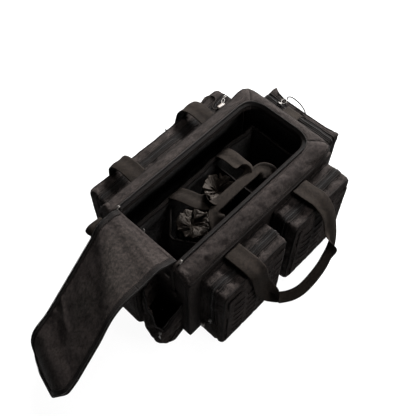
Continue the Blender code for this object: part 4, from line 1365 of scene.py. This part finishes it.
def tote_panel(node, rim=0.0024, swell=0.0015, bowed=(0.0, 0.0), thicker=0.0010):
    """A soft panel of the tote with a binding over its top edge: nylon outside and lining inside, the lining painted
    lighter as fill light for the shaded inside.
    """
    points, faces, low, high, thin = soft_box(node)
    long = 1 - thin
    span = (points[:, long] - low[long]) / (high[long] - low[long])
    tall = (points[:, 2] - low[2]) / (high[2] - low[2])

    def bow(span, tall, places):
        ends = ease(span * 12) * ease((1 - span) * 12)
        bend = np.interp(span, (0, 0.46, 0.54, 1), (bowed[0], 0.0015, 0.0015, bowed[1]))
        return swell * bumps(places, 20, high[0] * 80) * tall * ends + (bend * tall if bowed[0] else 0)

    middle = (low[thin] + high[thin]) / 2
    outside = ((points[:, thin] - middle) * np.sign(middle) > 0) & node.endswith("_wall")
    points[:, thin] += bow(span, tall, points)
    shape = Shape().add(points, faces)
    # Every face but the walls' outsides takes the lining, whose lighter colour is partly painted fill light.
    shape.looks = [3 * int(outside[list(face)].any()) for face in faces]
    edge = np.zeros((60, 3))
    edge[:, long] = np.linspace(low[long] + 0.002, high[long] - 0.002, 60)
    edge[:, thin] = middle
    edge[:, 2] = high[2] - 0.0005
    edge[:, thin] += bow(np.linspace(0, 1, 60), np.ones(60), edge)
    edge[:, 2] += 0.0007 * bumps(edge, 30, 3)
    thick = (high[thin] - low[thin]) / 2 + thicker
    sweep(shape, edge, UP, round_section(thick, 10, rim / thick), 1)
    side = np.zeros(3)
    side[thin] = thick - 0.0002
    for way in (-1, 1):
        stitches(shape, edge + way * side - (0, 0, 0.003), unit(side) * way, 2, 0, 0)
    return place(shape, node + "_cloth", (PAINTED_FILL_LINING, BINDING, THREAD, NYLON), "tote", "lining", node, fill=0.4)


def satin_pouch(name, seed):
    """A gathered drawstring pouch: irregular pleats run into the neck and out again as a crumpled collar."""
    low, high = corners(f"satin_pouch_{name}")
    middle, radius = (low + high) / 2, (high[0] - low[0]) / 2
    turns = np.linspace(0, 2 * math.pi, 181)[:-1]
    profile = spline([(0.020, 0, low[2] + 0.0005), (0.037, 0, low[2] + 0.004), (0.0390, 0, low[2] + 0.03),
                      (0.0390, 0, 0.110), (0.0390, 0, 0.150), (0.0385, 0, 0.172), (0.0340, 0, 0.1885),
                      (0.0270, 0, 0.1950), (0.0215, 0, 0.2000), (0.0240, 0, 0.2050), (0.0300, 0, 0.2090),
                      (0.0330, 0, 0.2115), (0.0290, 0, 0.2115), (0.0210, 0, 0.2085), (0.0140, 0, 0.2050),
                      (0.0080, 0, 0.2010), (0.0025, 0, 0.1970)], 0.0018)
    aim = np.stack([np.cos(turns), np.sin(turns), turns * 0], 1)
    warp = 1.1 * bumps(aim, 0.9, seed) + 0.5 * bumps(aim, 2.1, seed + 4)
    grid = []
    for k, (r, _, z) in enumerate(profile):
        deep = math.exp(-((z - 0.203) / 0.016) ** 2)
        twist = 22 * (z - 0.2) + 9 * (r - 0.03)
        wide = np.abs(np.sin(3.5 * (turns + warp + twist) + seed)) - 0.5
        thin = np.sin(9 * (turns + 0.8 * warp + 0.6 * twist) + 2 * bumps(aim + (0, 0, 60 * r), 1.5, seed))
        size = 0.4 + 0.6 * np.abs(bumps(aim, 1.6, seed + 9)) * 2
        share = r + deep * (0.0060 * wide + 0.0026 * thin) * min(1.0, r / 0.02) * size
        pleats = 0.0095 * wide + 0.0034 * thin + 0.0050 * bumps(aim, 1.2, seed + 2)
        lift = deep * pleats * size * min(1.0, r / 0.01)
        share = np.minimum(share, radius - 0.0002)
        height = np.minimum(z + lift, high[2] + 0.004)
        shift = 0.004 * ease((z - 0.19) / 0.02)
        x, y = middle[0] + shift + share * aim[:, 0], middle[1] + share * aim[:, 1]
        grid.append(np.stack([x, y, height], 1))
    points = np.array(grid).reshape(-1, 3)
    faces = grid_faces(len(profile), len(turns), False, True)
    faces.append(tuple(range(len(turns)))[::-1])
    points += (bumps(points, 60, seed) * 0.0016)[:, None] * unit(points - (middle[0], middle[1], 0.15))
    held = np.zeros((len(profile), len(turns)), bool)
    held[:3] = True
    held[int(np.argmin(np.abs(profile[:, 0] - 0.0215)))] = True
    points = crumple(points, faces[:-1], held.ravel(), 0.14, most=0.0055, bend=0.1)
    place(Shape().add(points, faces), f"satin_{name}_cloth", (SATIN,), f"satin_{name}", "satin",
          f"satin_pouch_{name}", fill=0.3)
    some = turns[::3]
    ring = np.stack([middle[0] + 0.0215 * np.cos(some), middle[1] + 0.0215 * np.sin(some),
                     0.2003 + 0.0004 * np.sin(some * 8)], 1)
    shape = Shape()
    tube(shape, ring, UP, 0.0012, closed=True)
    place(shape, f"drawstring_{name}_cord", (CORD,), f"satin_{name}", "cord", f"drawstring_{name}")


def tote_pull():
    """The zipper slider on the tote's near panel, with the ring that pulls it."""
    centre = np.array((-0.1850, 0.0450, 0.2055))
    shape = Shape()
    slider(shape, centre, (0, 1, 0), UP)
    loop(shape, centre + (0.0030, 0.0095, 0.0012), (0, 1, 0), (1, 0, 0), 0.0062, 0.0055, 0.0010)
    place(shape, "tote_slider_metal", (METAL,), "tote", "metal")


def make_inside():
    slab("tote_floor", NYLON, "lining", 0.0004, "tote")
    for node in ("tote_front_wall", "tote_near_wall"):
        tote_panel(node)
    tote_panel("tote_back_wall", 0.0052, 0.0055, thicker=0.0026)
    tote_panel("tote_far_wall", 0.0036, 0.0050)
    tote_panel("tote_divider_near", 0.0030, bowed=(0.036, 0.056))
    tote_panel("tote_divider_far", 0.0034)
    tote_pull()
    satin_pouch("near", 1.0)
    satin_pouch("far", 4.0)


make_camera()
make_stage()
make_cords()
make_rim()
make_walls()
make_lid()
make_straps()
make_pockets()
near_pocket()
tabs_and_tag()
make_sliders()
make_inside()
